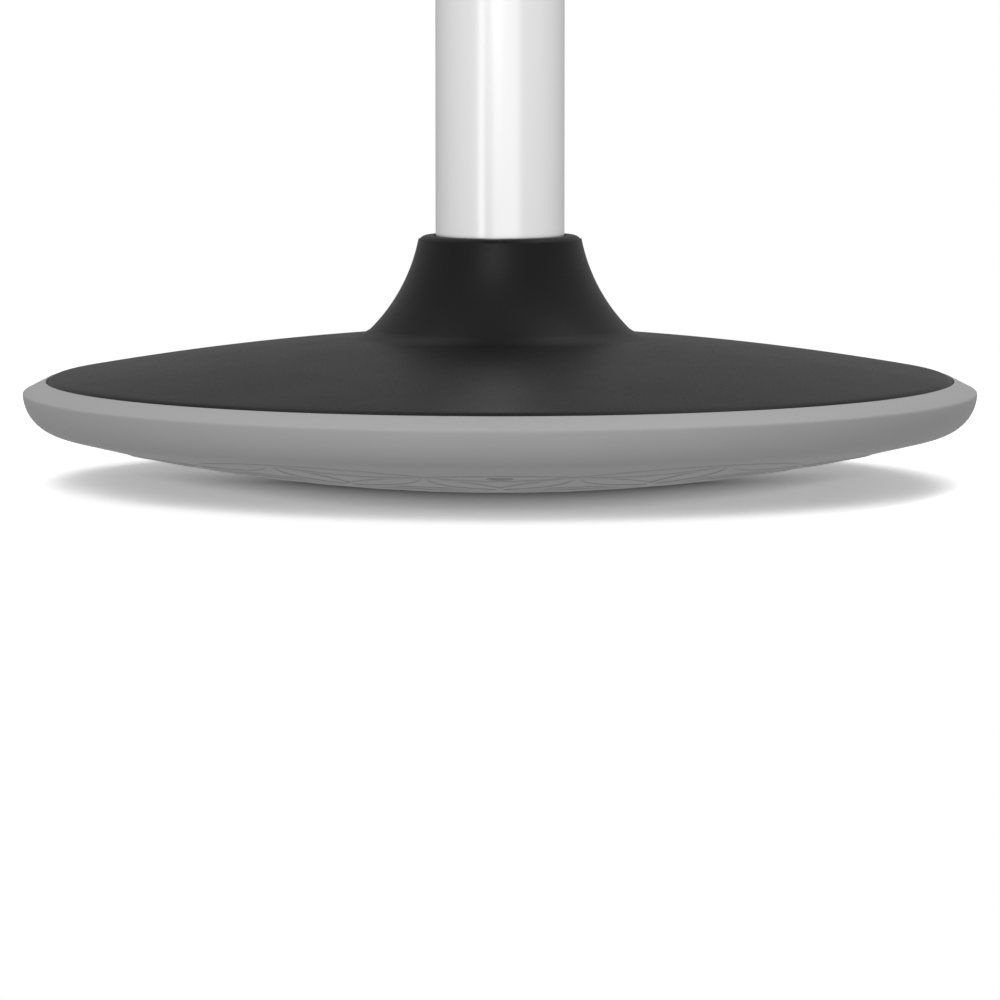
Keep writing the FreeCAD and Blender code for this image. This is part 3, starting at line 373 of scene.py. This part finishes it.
def makeSeatFabric(seamLevel, sideRadius):      # woven cloth: flat on the top panel, wrapped round the side
    look = fabricLook
    material, place = startFinish("seatFabric")
    across, along, height = (place.part(axis) for axis in "XYZ")
    onTop = height > seamLevel
    around = place.maths("ARCTAN2", along, across) * sideRadius
    weft = onTop * across + (1 - onTop) * around
    warp = onTop * along + (1 - onTop) * height
    pitch = math.pi / look["thread"]
    weftWave = (weft * pitch).sine()
    warpWave = (warp * pitch).sine()
    over = weftWave * warpWave > 0      # which thread lies on top
    threads = over * abs(weftWave) + (1 - over) * abs(warpWave)
    fuzz = place.noise(*look["fuzz"])
    yarn = place.noise(*look["yarn"])
    worn = place.noise(*look["worn"])
    # painted shade: the cloth is darker in the gaps between threads and lighter on their crowns
    colour = threads * look["paintedThreadShade"] + yarn * look["yarnTone"] + worn * look["wornTone"]
    relief = threads * look["threadBump"] + fuzz * look["fuzzBump"]
    return closeFinish(material, {
        "Base Color": colour.mix(look["dark"], look["pale"]),
        "Roughness": fuzz * look["fuzzRough"] + look["roughness"],
        "Specular IOR Level": look["shine"],
        "Sheen Weight": look["sheen"],
        "Sheen Roughness": look["sheenRough"],
        "Normal": relief.bump(*look["bump"]),
    })


# Modelling: a turned piece is a profile drawn point by point and spun about the upright axis

def onlySelect(piece):
    bpy.ops.object.select_all(action="DESELECT")
    piece.select_set(True)
    bpy.context.view_layer.objects.active = piece


def added(operator, **settings):      # the object that an add operator makes
    bpy.ops.object.select_all(action="DESELECT")
    operator(**settings)
    return bpy.context.object


def selectWhere(piece, chosen):      # leaves the piece in edit mode with the chosen vertices selected
    bpy.ops.object.mode_set(mode="EDIT")
    bpy.ops.mesh.select_all(action="DESELECT")
    bpy.ops.object.mode_set(mode="OBJECT")
    for vertex in piece.data.vertices:
        vertex.select = chosen(vertex.co)
    bpy.ops.object.mode_set(mode="EDIT")


def arcTo(outline, end, radius, bend, steps):
    start = outline[-1]
    half = [(end[axis] - start[axis]) / 2 for axis in (0, 1)]
    slant = bend * math.sqrt(max(radius ** 2 / (half[0] ** 2 + half[1] ** 2) - 1, 0))
    centre = (start[0] + half[0] - half[1] * slant, start[1] + half[1] + half[0] * slant)
    first = math.atan2(start[1] - centre[1], start[0] - centre[0])
    last = math.atan2(end[1] - centre[1], end[0] - centre[0])
    sweep = bend * ((bend * (last - first)) % fullTurn)
    for step in range(1, steps):
        angle = first + sweep * step / steps
        outline.append((centre[0] + radius * math.cos(angle), centre[1] + radius * math.sin(angle)))
    outline.append(end)


def spunPiece(name, outline, steps, edge=0, closed=True):      # closed: the outline's ends are joined
    piece = added(bpy.ops.mesh.primitive_plane_add, size=mm)
    piece.name = name
    bpy.ops.object.mode_set(mode="EDIT")
    bpy.ops.mesh.select_mode(type="VERT")
    bpy.ops.mesh.merge(type="CENTER")      # the pen's first point
    pen = (0, 0)
    for number, point in enumerate(outline):
        step = Vector((point[0] - pen[0], 0, point[1] - pen[1])) * mm
        if number == 0:
            bpy.ops.transform.translate(value=step)
        else:
            bpy.ops.mesh.extrude_region_move(TRANSFORM_OT_translate={"value": step})
        pen = point
    if closed:
        ends = [Vector((point[0], 0, point[1])) * mm for point in (outline[0], outline[-1])]
        selectWhere(piece, lambda spot: min((spot - end).length for end in ends) < sameSpot)
        bpy.ops.mesh.edge_face_add()
    bpy.ops.mesh.select_all(action="SELECT")
    bpy.ops.mesh.spin(steps=steps, angle=fullTurn, center=(0, 0, 0), axis=(0, 0, 1))
    bpy.ops.mesh.select_all(action="SELECT")
    bpy.ops.mesh.remove_doubles(threshold=sameSpot)
    bpy.ops.mesh.normals_make_consistent(inside=False)
    bpy.ops.object.mode_set(mode="OBJECT")
    if edge:
        roundEdges(piece, edge)
    return piece


def addModifier(piece, kind, **settings):
    modifier = piece.modifiers.new(kind.lower(), kind)
    for key, value in settings.items():
        setattr(modifier, key, value)
    return modifier


def applyModifier(piece, kind, **settings):
    modifier = addModifier(piece, kind, **settings)
    onlySelect(piece)
    bpy.ops.object.modifier_apply(modifier=modifier.name)


def roundEdges(piece, width, segments=3, angle=28):
    applyModifier(piece, "BEVEL", width=width * mm, segments=segments, limit_method="ANGLE",
                  angle_limit=math.radians(angle))


def cut(piece, tool):
    applyModifier(piece, "BOOLEAN", operation="DIFFERENCE", solver="MANIFOLD", object=tool)
    bpy.data.objects.remove(tool)


def copyOf(piece, matrix):      # a copy with a mesh of its own, moved there
    copy = bpy.data.objects.new(piece.name, piece.data.copy())
    bpy.context.scene.collection.objects.link(copy)
    copy.data.transform(matrix)
    return copy


def joinAll(name, pieces):
    bpy.ops.object.select_all(action="DESELECT")
    for piece in pieces:
        piece.select_set(True)
    bpy.context.view_layer.objects.active = pieces[0]
    bpy.ops.object.join()
    pieces[0].name = name
    return pieces[0]


def smooth(piece, angle=35):
    onlySelect(piece)
    bpy.ops.object.shade_smooth_by_angle(angle=math.radians(angle))


def dress(piece, slotName, body, *nodes):      # finish, slot, body, and the CAD nodes it stands for
    piece.data.materials.clear()
    piece.data.materials.append(finishes[slotName])
    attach(piece, body)
    if nodes:
        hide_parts(*nodes)


def millimetres(node):
    low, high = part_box(node)
    return low / mm, high / mm


padHigh = millimetres("rocker_pad")[1]
coverHigh = millimetres("base_cover")[1]
tubeLow, tubeHigh = millimetres("column_tube")
cushionLow, cushionHigh = millimetres("seat_cushion")
shellLow, shellHigh = millimetres("seat_shell")

cushionLook = {      # stands here because the fabric changes direction at the seam
    "sideHeight": 43, "sideInset": 1.5, "sideStep": 0.5, "sideRadius": 60, "rimGap": 1, "footInset": 9,
    "pipeRoom": 1.4, "seamInset": 2, "crown": 9, "edgeRound": 20, "edgeSlack": 4, "sag": 5,
    "sideSteps": 10, "crownSteps": 24, "steps": 180, "voxel": 5, "smooth": 60,
    "pressure": 7, "quality": 6, "mass": 0.4, "frames": 20, "swell": 9,
    "pinBand": 3.5, "pinReach": 12, "pinRise": 2,
    "pipe": 2.6, "pipeInset": 2.2, "pipeSteps": 220, "pipeSides": 14,
}
seamLevel = shellHigh.z + cushionLook["sideHeight"]
finishes = {
    "grey_rubber": makeGreyRubber(),
    "black_plastic": makeBlackPlastic(),
    "silver_paint": makeSilverPaint(),
    "black_paint": makeBlackPaint(),
    "bright_steel": makeSteel("brightSteel", brightLook),
    "plain_steel": makeSteel("plainSteel", plainLook),
    "cast_weight": makeCastWeight(),
    "white_nylon": makeWhiteNylon(),
    "brass": makeBrass(),
    "black_rubber": makeBlackRubber(),
    "plywood": makePlywood(),
    "seat_fabric": makeSeatFabric(seamLevel * mm, cushionHigh.x * mm),
}
print("finishes:", len(finishes))


# Rocker pad: grey dome with a raised net of circles, bevelled rim and six counterbores

padLook = {
    "ribHeight": 0.9, "ribWidth": 2.2, "outerRib": 0.45, "ribSpread": 0.08, "ribStep": 0.618, "ribSides": 8,
    "bilge": 15.5, "bevelWidth": 9, "bevelHeight": 4.6, "lipDepth": 6.5, "ledgeWidth": 6, "wall": 6,
    "edge": 0.6, "steps": 240, "domeSteps": 44, "bilgeSteps": 16, "insideSteps": 12, "smooth": 50,
    "ringCells": 3, "arcSteps": 14,
    "screwCount": 6, "boreRadius": 5, "boreSteps": 64, "mouth": 5.7, "throat": 4.7, "mouthDepth": 1.4,
}
screwLook = {      # stands here because the counterbores follow the screws
    "head": 4.2, "headHeight": 2.6, "side": 0.9, "crown": 4.6, "flat": 1.6, "shank": 2.2, "point": 3,
    "edge": 0.15, "steps": 48, "crownSteps": 8,
    "slotWidth": 1.05, "slotLength": 4.6, "slotDepth": 1.5, "slotTaper": 0.45, "stop": 2.3,
}
screwLow, screwHigh = millimetres("pad_screws")
screwCircle = screwHigh.y - screwLook["head"]
screwSeat = screwLow.z + screwLook["headHeight"]
bilgeCentre = (padHigh.x - padLook["bilge"], padHigh.z - padLook["bevelHeight"])
domeDrop = bilgeCentre[1] - padLook["ribHeight"]
domeRadius = ((bilgeCentre[0] ** 2 + domeDrop ** 2 - padLook["bilge"] ** 2)
              / (2 * (domeDrop - padLook["bilge"])))      # the dome that runs smoothly into the bilge
domeCentre = padLook["ribHeight"] + domeRadius


def domeLevel(radius):
    return domeCentre - math.sqrt(domeRadius ** 2 - radius ** 2)


def makePadShell():
    look = padLook
    reach = domeRadius / (domeRadius - look["bilge"])
    lip = padHigh.x - look["bevelWidth"]
    ledge = padHigh.z - look["lipDepth"]
    inside = domeRadius - look["wall"]
    floorEdge = bilgeCentre[0] - look["ledgeWidth"]
    outline = [(0, look["ribHeight"])]
    tangent = (bilgeCentre[0] * reach, domeCentre + (bilgeCentre[1] - domeCentre) * reach)
    arcTo(outline, tangent, domeRadius, left, look["domeSteps"])
    arcTo(outline, (padHigh.x, bilgeCentre[1]), look["bilge"], left, look["bilgeSteps"])
    outline += [(lip, padHigh.z), (lip, ledge), (lip - look["ledgeWidth"], ledge)]
    outline.append((floorEdge, domeCentre - math.sqrt(inside ** 2 - floorEdge ** 2)))
    arcTo(outline, (0, domeCentre - inside), inside, right, look["insideSteps"])
    return spunPiece("rockerPad", outline, look["steps"], look["edge"], closed=False)


def latticePoints(cells):      # corners of a grid of triangles inside a hexagon
    span = range(-cells, cells + 1)
    return [(a, b) for a in span for b in span if abs(a + b) <= cells]


def makeRib(ringRadius):      # an octagon with a flat top, swept through a sixth of a circle
    turn = math.pi / padLook["ribSides"]
    spot = Vector((ringRadius, 0, 0)) * mm
    rib = added(bpy.ops.mesh.primitive_circle_add, vertices=padLook["ribSides"], radius=mm, location=spot,
                rotation=(math.pi / 2, 0, 0))
    bpy.ops.object.transform_apply(location=True, rotation=True)
    bpy.ops.object.mode_set(mode="EDIT")
    bpy.ops.mesh.select_all(action="SELECT")
    bpy.ops.transform.rotate(value=turn, orient_axis="Y", center_override=spot)
    width = padLook["ribWidth"] / 2 / math.cos(turn)
    height = padLook["ribHeight"] / math.cos(turn)
    bpy.ops.transform.resize(value=(width, 1, height), center_override=spot)
    bpy.ops.mesh.spin(steps=padLook["arcSteps"], angle=-sixthTurn, axis=(0, 0, 1))      # a minus turns left
    bpy.ops.mesh.select_all(action="SELECT")
    bpy.ops.mesh.fill_holes(sides=0)
    bpy.ops.object.mode_set(mode="OBJECT")
    return rib


def makeTread():
    nodes = set(latticePoints(padLook["ringCells"]))
    ringRadius = screwCircle / (1.5 * rootThree)      # puts the screws in the outer petals
    neighbours = [(1, 0), (0, 1), (-1, 1), (-1, 0), (0, -1), (1, -1)]      # 60 degrees apart
    rib = makeRib(ringRadius)
    ribs = []
    for a, b in latticePoints(padLook["ringCells"] + 1):
        centre = Vector((a + b / 2, b * rootThree / 2, 0)) * ringRadius * mm
        shown = [(a + side[0], b + side[1]) in nodes for side in neighbours]
        for sixth in range(6):
            if shown[sixth] and shown[(sixth + 1) % 6]:
                lowered = len(ribs) * padLook["ribStep"] % 1      # no two tops are level
                height = 1 - padLook["ribSpread"] * lowered
                turn = Matrix.Rotation(sixth * sixthTurn, 4, "Z") @ Matrix.Diagonal((1, 1, height, 1))
                ribs.append(copyOf(rib, Matrix.Translation(centre) @ turn))
    bpy.data.objects.remove(rib)
    tread = joinAll("tread", ribs)
    for vertex in tread.data.vertices:      # lay the flat net on the dome, ribs pointing down
        radius = math.hypot(vertex.co.x, vertex.co.y) / mm
        share = 1 - (1 - padLook["outerRib"]) * radius / padHigh.x      # lower towards the rim
        vertex.co.z = domeLevel(radius) * mm - vertex.co.z * share
    bpy.ops.object.mode_set(mode="EDIT")
    bpy.ops.mesh.select_all(action="SELECT")
    bpy.ops.mesh.normals_make_consistent(inside=False)
    bpy.ops.object.mode_set(mode="OBJECT")
    return tread


def screwSpots():
    for number in range(padLook["screwCount"]):
        angle = math.pi / 2 + number * fullTurn / padLook["screwCount"]
        yield screwCircle * math.cos(angle), screwCircle * math.sin(angle), angle


def cutCounterbores(pad):
    look = padLook
    surface = domeLevel(screwCircle)
    slope = math.asin(screwCircle / domeRadius)
    for x, y, angle in screwSpots():
        bore = added(bpy.ops.mesh.primitive_cylinder_add, vertices=look["boreSteps"],
                     radius=look["boreRadius"] * mm, depth=screwSeat * mm,
                     location=Vector((x, y, screwSeat / 2)) * mm)
        bpy.ops.object.transform_apply(location=True)
        cut(pad, bore)
        mouth = added(bpy.ops.mesh.primitive_cone_add, vertices=look["boreSteps"],
                      radius1=look["mouth"] * mm, radius2=look["throat"] * mm, depth=look["mouthDepth"] * mm,
                      location=Vector((x, y, surface)) * mm, rotation=(0, -slope, angle))
        bpy.ops.object.transform_apply(location=True, rotation=True)
        cut(pad, mouth)


pad = makePadShell()
cutCounterbores(pad)
pad = joinAll("rockerPad", [pad, makeTread()])
smooth(pad, padLook["smooth"])
dress(pad, "grey_rubber", "base", "rocker_pad")
print("rocker pad:", len(pad.data.polygons), "faces")


# Pad screws: pan heads with a cross recess

def makeScrew():
    look = screwLook
    seat, top = screwSeat, screwLow.z
    outline = [(0, top), (look["flat"], top)]
    arcTo(outline, (look["head"], seat - look["side"]), look["crown"], left, look["crownSteps"])
    outline += [(look["head"], seat), (look["shank"], seat)]
    outline += [(look["shank"], screwHigh.z - look["point"]), (0, screwHigh.z)]
    screw = spunPiece("padScrews", outline, look["steps"], look["edge"], closed=False)
    middle = Vector((0, 0, top)) * mm
    narrowed = (look["slotTaper"], look["slotTaper"], 1)
    for turn in (0, math.pi / 2):
        slot = added(bpy.ops.mesh.primitive_cube_add, size=mm, location=middle, rotation=(0, 0, turn))
        slot.scale = (look["slotLength"], look["slotWidth"], 2 * look["slotDepth"])
        bpy.ops.object.transform_apply(location=True, rotation=True, scale=True)
        selectWhere(slot, lambda spot: spot.z > middle.z)
        bpy.ops.transform.resize(value=narrowed, center_override=middle)      # towards the recess floor
        bpy.ops.object.mode_set(mode="OBJECT")
        cut(screw, slot)
    return screw


def screwMatrix(x, y, angle):
    stop = angle * screwLook["stop"]      # each screw stops at its own turn
    return Matrix.Translation(Vector((x, y, 0)) * mm) @ Matrix.Rotation(stop, 4, "Z")


screw = makeScrew()
screws = joinAll("padScrews", [copyOf(screw, screwMatrix(*spot)) for spot in screwSpots()])
bpy.data.objects.remove(screw)
smooth(screws)
dress(screws, "black_paint", "base", "pad_screws")
print("pad screws:", padLook["screwCount"])


# Base cover: trumpet collar on a low crowned skirt

coverLook = {
    "bore": 25.6, "collar": 31.4, "flareWidth": 21.8, "flareRadius": 68, "flareRise": 39.1,
    "crownRadius": 1250, "topRound": 3, "shoulderRound": 5, "edgeRound": 4, "edgeSet": 2.7, "edgeRise": 2,
    "sideDepth": 5.5, "wall": 3, "lip": 4, "innerShift": 1, "innerDrop": 1.2, "onRing": 0.01,
    "steps": 256, "outerSteps": 30, "edgeSteps": 6, "innerSteps": 10, "roundSteps": 6, "roundShape": 0.5,
}


def makeCover():
    look = coverLook
    top, edge, wall = coverHigh.z, coverHigh.x, look["wall"]
    shoulder = (look["collar"] + look["flareWidth"], top - look["flareRise"])
    ledge = padHigh.z - padLook["lipDepth"]
    side = ledge + look["sideDepth"]
    crownEdge = (edge - look["edgeSet"], side + look["edgeRise"])
    inner = (shoulder[0] + look["innerShift"], shoulder[1] - look["innerDrop"] * wall)
    throat = (look["collar"] - wall, top - look["lip"])
    outline = [(look["bore"], top), (look["collar"], top)]
    arcTo(outline, shoulder, look["flareRadius"], left, look["outerSteps"])
    arcTo(outline, crownEdge, look["crownRadius"], right, look["outerSteps"])
    arcTo(outline, (edge, side), look["edgeRound"], right, look["edgeSteps"])
    outline += [(edge, ledge), (edge - wall, ledge), (edge - wall, crownEdge[1] - wall)]
    arcTo(outline, inner, look["crownRadius"] - wall, left, look["innerSteps"])
    arcTo(outline, throat, look["flareRadius"] + wall, right, look["innerSteps"])
    outline.append((look["bore"], top - look["lip"]))
    cover = spunPiece("baseCover", outline, look["steps"])
    bevelRing(cover, look["collar"], top, look["topRound"])
    bevelRing(cover, *shoulder, look["shoulderRound"])
    return cover


def bevelRing(piece, radius, level, width):
    def onRing(spot):
        away = (math.hypot(spot.x, spot.y) - radius * mm, spot.z - level * mm)
        return math.hypot(*away) < coverLook["onRing"] * mm

    onlySelect(piece)
    selectWhere(piece, onRing)
    bpy.ops.mesh.bevel(offset=width * mm, segments=coverLook["roundSteps"], profile=coverLook["roundShape"])
    bpy.ops.object.mode_set(mode="OBJECT")


cover = makeCover()
smooth(cover)
dress(cover, "black_plastic", "base", "base_cover")
print("base cover:", len(cover.data.polygons), "faces")


# Column: silver tube with a tapered foot inside the collar

columnLook = {"wall": 1.8, "taper": 1.6, "footTop": 4, "edge": 0.5, "steps": 160}


def makeTube():
    outside, inside = tubeHigh.x, tubeHigh.x - columnLook["wall"]
    taper, bend = columnLook["taper"], coverHigh.z - columnLook["footTop"]
    outline = [(outside - taper, tubeLow.z), (outside, bend), (outside, tubeHigh.z)]
    outline += [(inside, tubeHigh.z), (inside, bend), (inside - taper, tubeLow.z)]
    return spunPiece("columnTube", outline, columnLook["steps"], columnLook["edge"])


tube = makeTube()
smooth(tube)
dress(tube, "silver_paint", "base", "column_tube")
print("column tube:", len(tube.data.polygons), "faces")


# Seat: dished shell and padded cushion

shellLook = {"wall": 3.2, "curve": 26, "edge": 1.0, "steps": 220, "outerSteps": 18, "innerSteps": 10}


def makeShell():
    look = shellLook
    flat = shellHigh.x - look["curve"]
    floor = shellLow.z + look["wall"]
    outline = [(0, shellLow.z), (flat, shellLow.z)]
    arcTo(outline, (shellHigh.x, shellHigh.z), look["curve"], left, look["outerSteps"])
    outline.append((shellHigh.x - look["wall"], shellHigh.z))
    arcTo(outline, (flat, floor), look["curve"] - look["wall"], right, look["innerSteps"])
    outline.append((0, floor))
    return spunPiece("seatShell", outline, look["steps"], look["edge"], closed=False)


def makeCushion():
    look = cushionLook
    reach = cushionHigh.x - look["pipeRoom"]
    rim = shellHigh.z + look["rimGap"]
    inside = shellHigh.x - shellLook["wall"] - look["rimGap"]
    topEdge = reach - look["edgeRound"]
    topLevel = cushionHigh.z - look["crown"] - look["sag"]
    crown = look["crown"] / 2 + topEdge ** 2 / (2 * look["crown"])
    outline = [(0, cushionLow.z), (inside - look["footInset"], cushionLow.z), (inside, rim)]
    outline.append((shellHigh.x - look["sideInset"], rim + look["sideStep"]))
    arcTo(outline, (reach - look["seamInset"], seamLevel), look["sideRadius"], left, look["sideSteps"])
    arcTo(outline, (topEdge, topLevel), look["edgeRound"] + look["edgeSlack"], left, look["sideSteps"])
    arcTo(outline, (0, topLevel + look["crown"]), crown, left, look["crownSteps"])
    cushion = spunPiece("seatCushion", outline, look["steps"], closed=False)
    applyModifier(cushion, "REMESH", mode="VOXEL", voxel_size=look["voxel"] * mm)
    puffUp(cushion, rim)
    applyModifier(cushion, "SUBSURF", levels=1, render_levels=1)
    return cushion


def puffUp(cushion, rim):      # cloth under pressure, held at the seam and the shell
    look = cushionLook
    start = [vertex.co.copy() for vertex in cushion.data.vertices]
    held = cushion.vertex_groups.new(name="held")
    for vertex in cushion.data.vertices:
        radius, level = math.hypot(vertex.co.x, vertex.co.y) / mm, vertex.co.z / mm
        atSeam = abs(level - seamLevel) < look["pinBand"] and radius > cushionHigh.x - look["pinReach"]
        if atSeam or level < rim + look["pinRise"]:
            held.add([vertex.index], 1, "REPLACE")
    cloth = addModifier(cushion, "CLOTH")
    cloth.settings.quality = look["quality"]
    cloth.settings.mass = look["mass"]
    cloth.settings.use_pressure = True
    cloth.settings.uniform_pressure_force = look["pressure"]
    cloth.settings.vertex_group_mass = "held"
    cloth.settings.effector_weights.gravity = 0
    for number in range(1, look["frames"] + 1):
        bpy.context.scene.frame_set(number)
    onlySelect(cushion)
    bpy.ops.object.modifier_apply(modifier=cloth.name)
    cap = look["swell"] * mm
    for vertex, place in zip(cushion.data.vertices, start):
        move = vertex.co - place
        if move.length > 0:      # soft limit to the swelling
            vertex.co = place + move * (cap * math.tanh(move.length / cap) / move.length)
    bpy.context.scene.frame_set(1)


def makePiping():
    look = cushionLook
    piping = added(bpy.ops.mesh.primitive_torus_add, major_radius=(cushionHigh.x - look["pipeInset"]) * mm,
                   minor_radius=look["pipe"] * mm, major_segments=look["pipeSteps"],
                   minor_segments=look["pipeSides"], location=(0, 0, seamLevel * mm))
    piping.name = "seatPiping"
    bpy.ops.object.transform_apply(location=True)
    return piping


stitchLook = {
    "count": 150, "length": 4.4, "radius": 0.55, "sides": 10, "rings": 6,
    "sideInset": 6.5, "topInset": 8.5, "away": 40,
}


def makeStitches(cushion):      # one row on the side panel, one on the top panel
    look = stitchLook
    stitch = added(bpy.ops.mesh.primitive_uv_sphere_add, segments=look["sides"], ring_count=look["rings"],
                   radius=look["radius"] * mm)
    stretch = look["length"] / 2 / look["radius"]
    bpy.ops.object.mode_set(mode="EDIT")
    bpy.ops.mesh.select_all(action="SELECT")
    bpy.ops.transform.resize(value=(stretch, 1, 1))
    bpy.ops.object.mode_set(mode="OBJECT")
    bpy.context.view_layer.update()
    down = Vector((0, 0, -1))
    sideLevel = Vector((0, 0, seamLevel - look["sideInset"]))
    overLevel = Vector((0, 0, cushionHigh.z + look["away"]))
    stitches = []
    for number in range(look["count"]):
        angle = number * fullTurn / look["count"]
        turn = Matrix.Rotation(angle + math.pi / 2, 4, "Z")
        outward = Vector((math.cos(angle), math.sin(angle), 0))
        beside = outward * (cushionHigh.x + look["away"]) + sideLevel
        over = outward * (cushionHigh.x - look["topInset"]) + overLevel
        for start, toward in ((beside, -outward), (over, down)):
            place = cushion.ray_cast(start * mm, toward)[1]      # on the cloth
            stitches.append(copyOf(stitch, Matrix.Translation(place) @ turn))
    bpy.data.objects.remove(stitch)
    return joinAll("seatStitches", stitches)


shell = makeShell()
smooth(shell)
dress(shell, "black_plastic", "seat", "seat_shell")
cushion = makeCushion()
smooth(cushion, cushionLook["smooth"])
dress(cushion, "seat_fabric", "seat", "seat_cushion")
trim = joinAll("seatPiping", [makePiping(), makeStitches(cushion)])
smooth(trim)
dress(trim, "seat_fabric", "seat")
print("seat cushion:", len(cushion.data.polygons), "faces")


# CAD pieces that stay get their finish and smooth shading

cadLook = {"weld": 0.002, "split": 32}


def dressCadNodes():
    for row in frame["record"]["subparts"]:
        node = frame["nodes"][row["node"]]
        node.data.materials.clear()
        node.data.materials.append(finishes[row["material_slot"]])
        if not node.hide_render:
            addModifier(node, "WELD", merge_threshold=cadLook["weld"] * mm)
            node.data.polygons.foreach_set("use_smooth", [True] * len(node.data.polygons))
            addModifier(node, "EDGE_SPLIT", split_angle=math.radians(cadLook["split"]))


dressCadNodes()
print("CAD nodes dressed:", len(frame["nodes"]))


# Stage: white paper floor that only the camera sees, its colour carrying painted shade and painted light round the
# base, white surroundings, soft lamps

paperLook = {
    "size": 4, "end": [(0.3, 1.0), (0.75, 0.0)],      # the paper fades into the white surroundings
    "front": 0.025, "bow": 7.2,      # painted shade: the paper's colour is darkest along this line and gets lighter away from it under the dome
    # painted shade and painted light under the dome: the paper's colour is darkened near that line and brightened above
    # white away from it
    "under": 0.2, "paintedShadeUnderDome": [(0.0, 0.2), (0.13, 0.85), (0.43, 2.1)],
    "open": 0.4, "paintedLightBesideDome": [(0.1, 1.7), (0.43, 2.1), (0.5, 1.3), (0.6, 1.2)],      # painted light beside the dome: the paper is brighter than plain white to lift the real shadow
    "join": [(0.41, 0.0), (0.45, 1.0)], "behind": [(0.01, 0.0), (0.06, 1.0)],
}


def makeFloor():
    look = paperLook
    floor = added(bpy.ops.mesh.primitive_plane_add, size=look["size"])
    floor.name = "studioFloor"
    material, place = startFinish("studioFloor")
    reach = place.node("ShaderNodeVectorMath", {0: place}, "Value", operation="LENGTH")
    across, along = place.part("X"), place.part("Y")
    ahead = across * across * look["bow"] - along - look["front"]
    away = reach / look["open"]
    # painted shade and painted light: the paper's colour is darkened along the line and brightened under and beside the
    # dome, over the real shadow
    under = (abs(ahead) / look["under"]).ramp(look["paintedShadeUnderDome"])
    beside = away.ramp(look["paintedLightBesideDome"])
    join = away.ramp(look["join"]).most(along.ramp(look["behind"]))
    paintedShadeAndLight = under * (1 - join) + beside * join
    share = reach.ramp(look["end"])
    fromBelow = place.node("ShaderNodeNewGeometry", output="Backfacing")
    paper = place.node("ShaderNodeBsdfDiffuse", {"Color": paintedShadeAndLight})
    clear = place.node("ShaderNodeBsdfTransparent")
    seen = place.ray("Camera") * share * (1 - fromBelow)
    shown = place.node("ShaderNodeMixShader", {0: seen, 1: clear, 2: paper})
    place.node("ShaderNodeOutputMaterial", {"Surface": shown})
    floor.data.materials.append(material)


skyLook = {      # white to the camera, and these to reflections and shadows
    "ambient": 0.4, "below": 0.2, "front": 0.95, "back": 0.43, "rightGain": 0.45, "leftGain": 0.35,
}


def makeSurroundings():
    look = skyLook
    world = bpy.data.worlds.new("studio")
    bpy.context.scene.world = world
    world.use_nodes = True
    world.node_tree.nodes.clear()
    wire = Wire(world.node_tree)
    glossy = wire.ray("Glossy")
    toward = wire.node("ShaderNodeTexCoord", output="Generated")
    side, depth, height = (toward.part(axis) for axis in "XYZ")
    middle = (look["front"] + look["back"]) / 2
    sides = side.most(0) * look["rightGain"] + (-side).most(0) * look["leftGain"]
    mirrored = middle - depth * (look["front"] - middle) + sides
    around = look["ambient"] + (-height).most(0) * look["below"]
    shown = wire.ray("Camera").most(wire.ray("Transmission"))
    level = shown + (1 - shown) * (glossy * mirrored + (1 - glossy) * around)
    sky = wire.node("ShaderNodeBackground", {"Color": grey(1.0), "Strength": level})
    wire.node("ShaderNodeOutputWorld", {"Surface": sky})


lampLook = {
    "frontBox": {"place": (-0.4, -2.5, 1.3), "aim": (0, 0, 0.15), "size": (1.2, 1.2), "power": 36},
    "topBox": {"place": (0.2, 0.3, 2.6), "aim": (0, 0, 0.2), "size": (2.6, 2.6), "power": 56},
    "sideStrip": {"place": (-1.5, -2.3, 0), "aim": (0, 0, 0.15), "size": (0.5, 1.4), "power": 2.2},
    "lowPanel": {"place": (0.5, -2.6, 0), "aim": (0, 0, 0.15), "size": (2.4, 1.4), "power": 6.5},
}


def makeLamps():
    for name, look in lampLook.items():
        lamp = added(bpy.ops.object.light_add, type="AREA", location=look["place"])
        lamp.name = name
        lamp.data.shape = "RECTANGLE"
        lamp.data.size, lamp.data.size_y = look["size"]
        lamp.data.energy = look["power"]
        lamp.visible_camera = False
        direction = Vector(look["aim"]) - Vector(look["place"])
        lamp.rotation_euler = direction.to_track_quat("-Z", "Y").to_euler()


cameraLook = {"lens": 240, "sensor": 36, "elevation": 5.46, "frameWidth": 389.1, "aim": (0, 0, -5.8)}


def makeCamera():
    look = cameraLook
    tilt = math.radians(look["elevation"])
    distance = look["frameWidth"] * look["lens"] / look["sensor"]
    back = Vector((0, -math.cos(tilt), math.sin(tilt))) * distance
    camera = added(bpy.ops.object.camera_add, location=(Vector(look["aim"]) + back) * mm,
                   rotation=(math.pi / 2 - tilt, 0, 0))
    camera.data.lens = look["lens"]
    camera.data.sensor_width = look["sensor"]
    bpy.context.scene.camera = camera


makeFloor()
makeSurroundings()
makeLamps()
makeCamera()
bpy.context.scene.view_settings.view_transform = "Standard"
print("stage, lamps and camera ready")
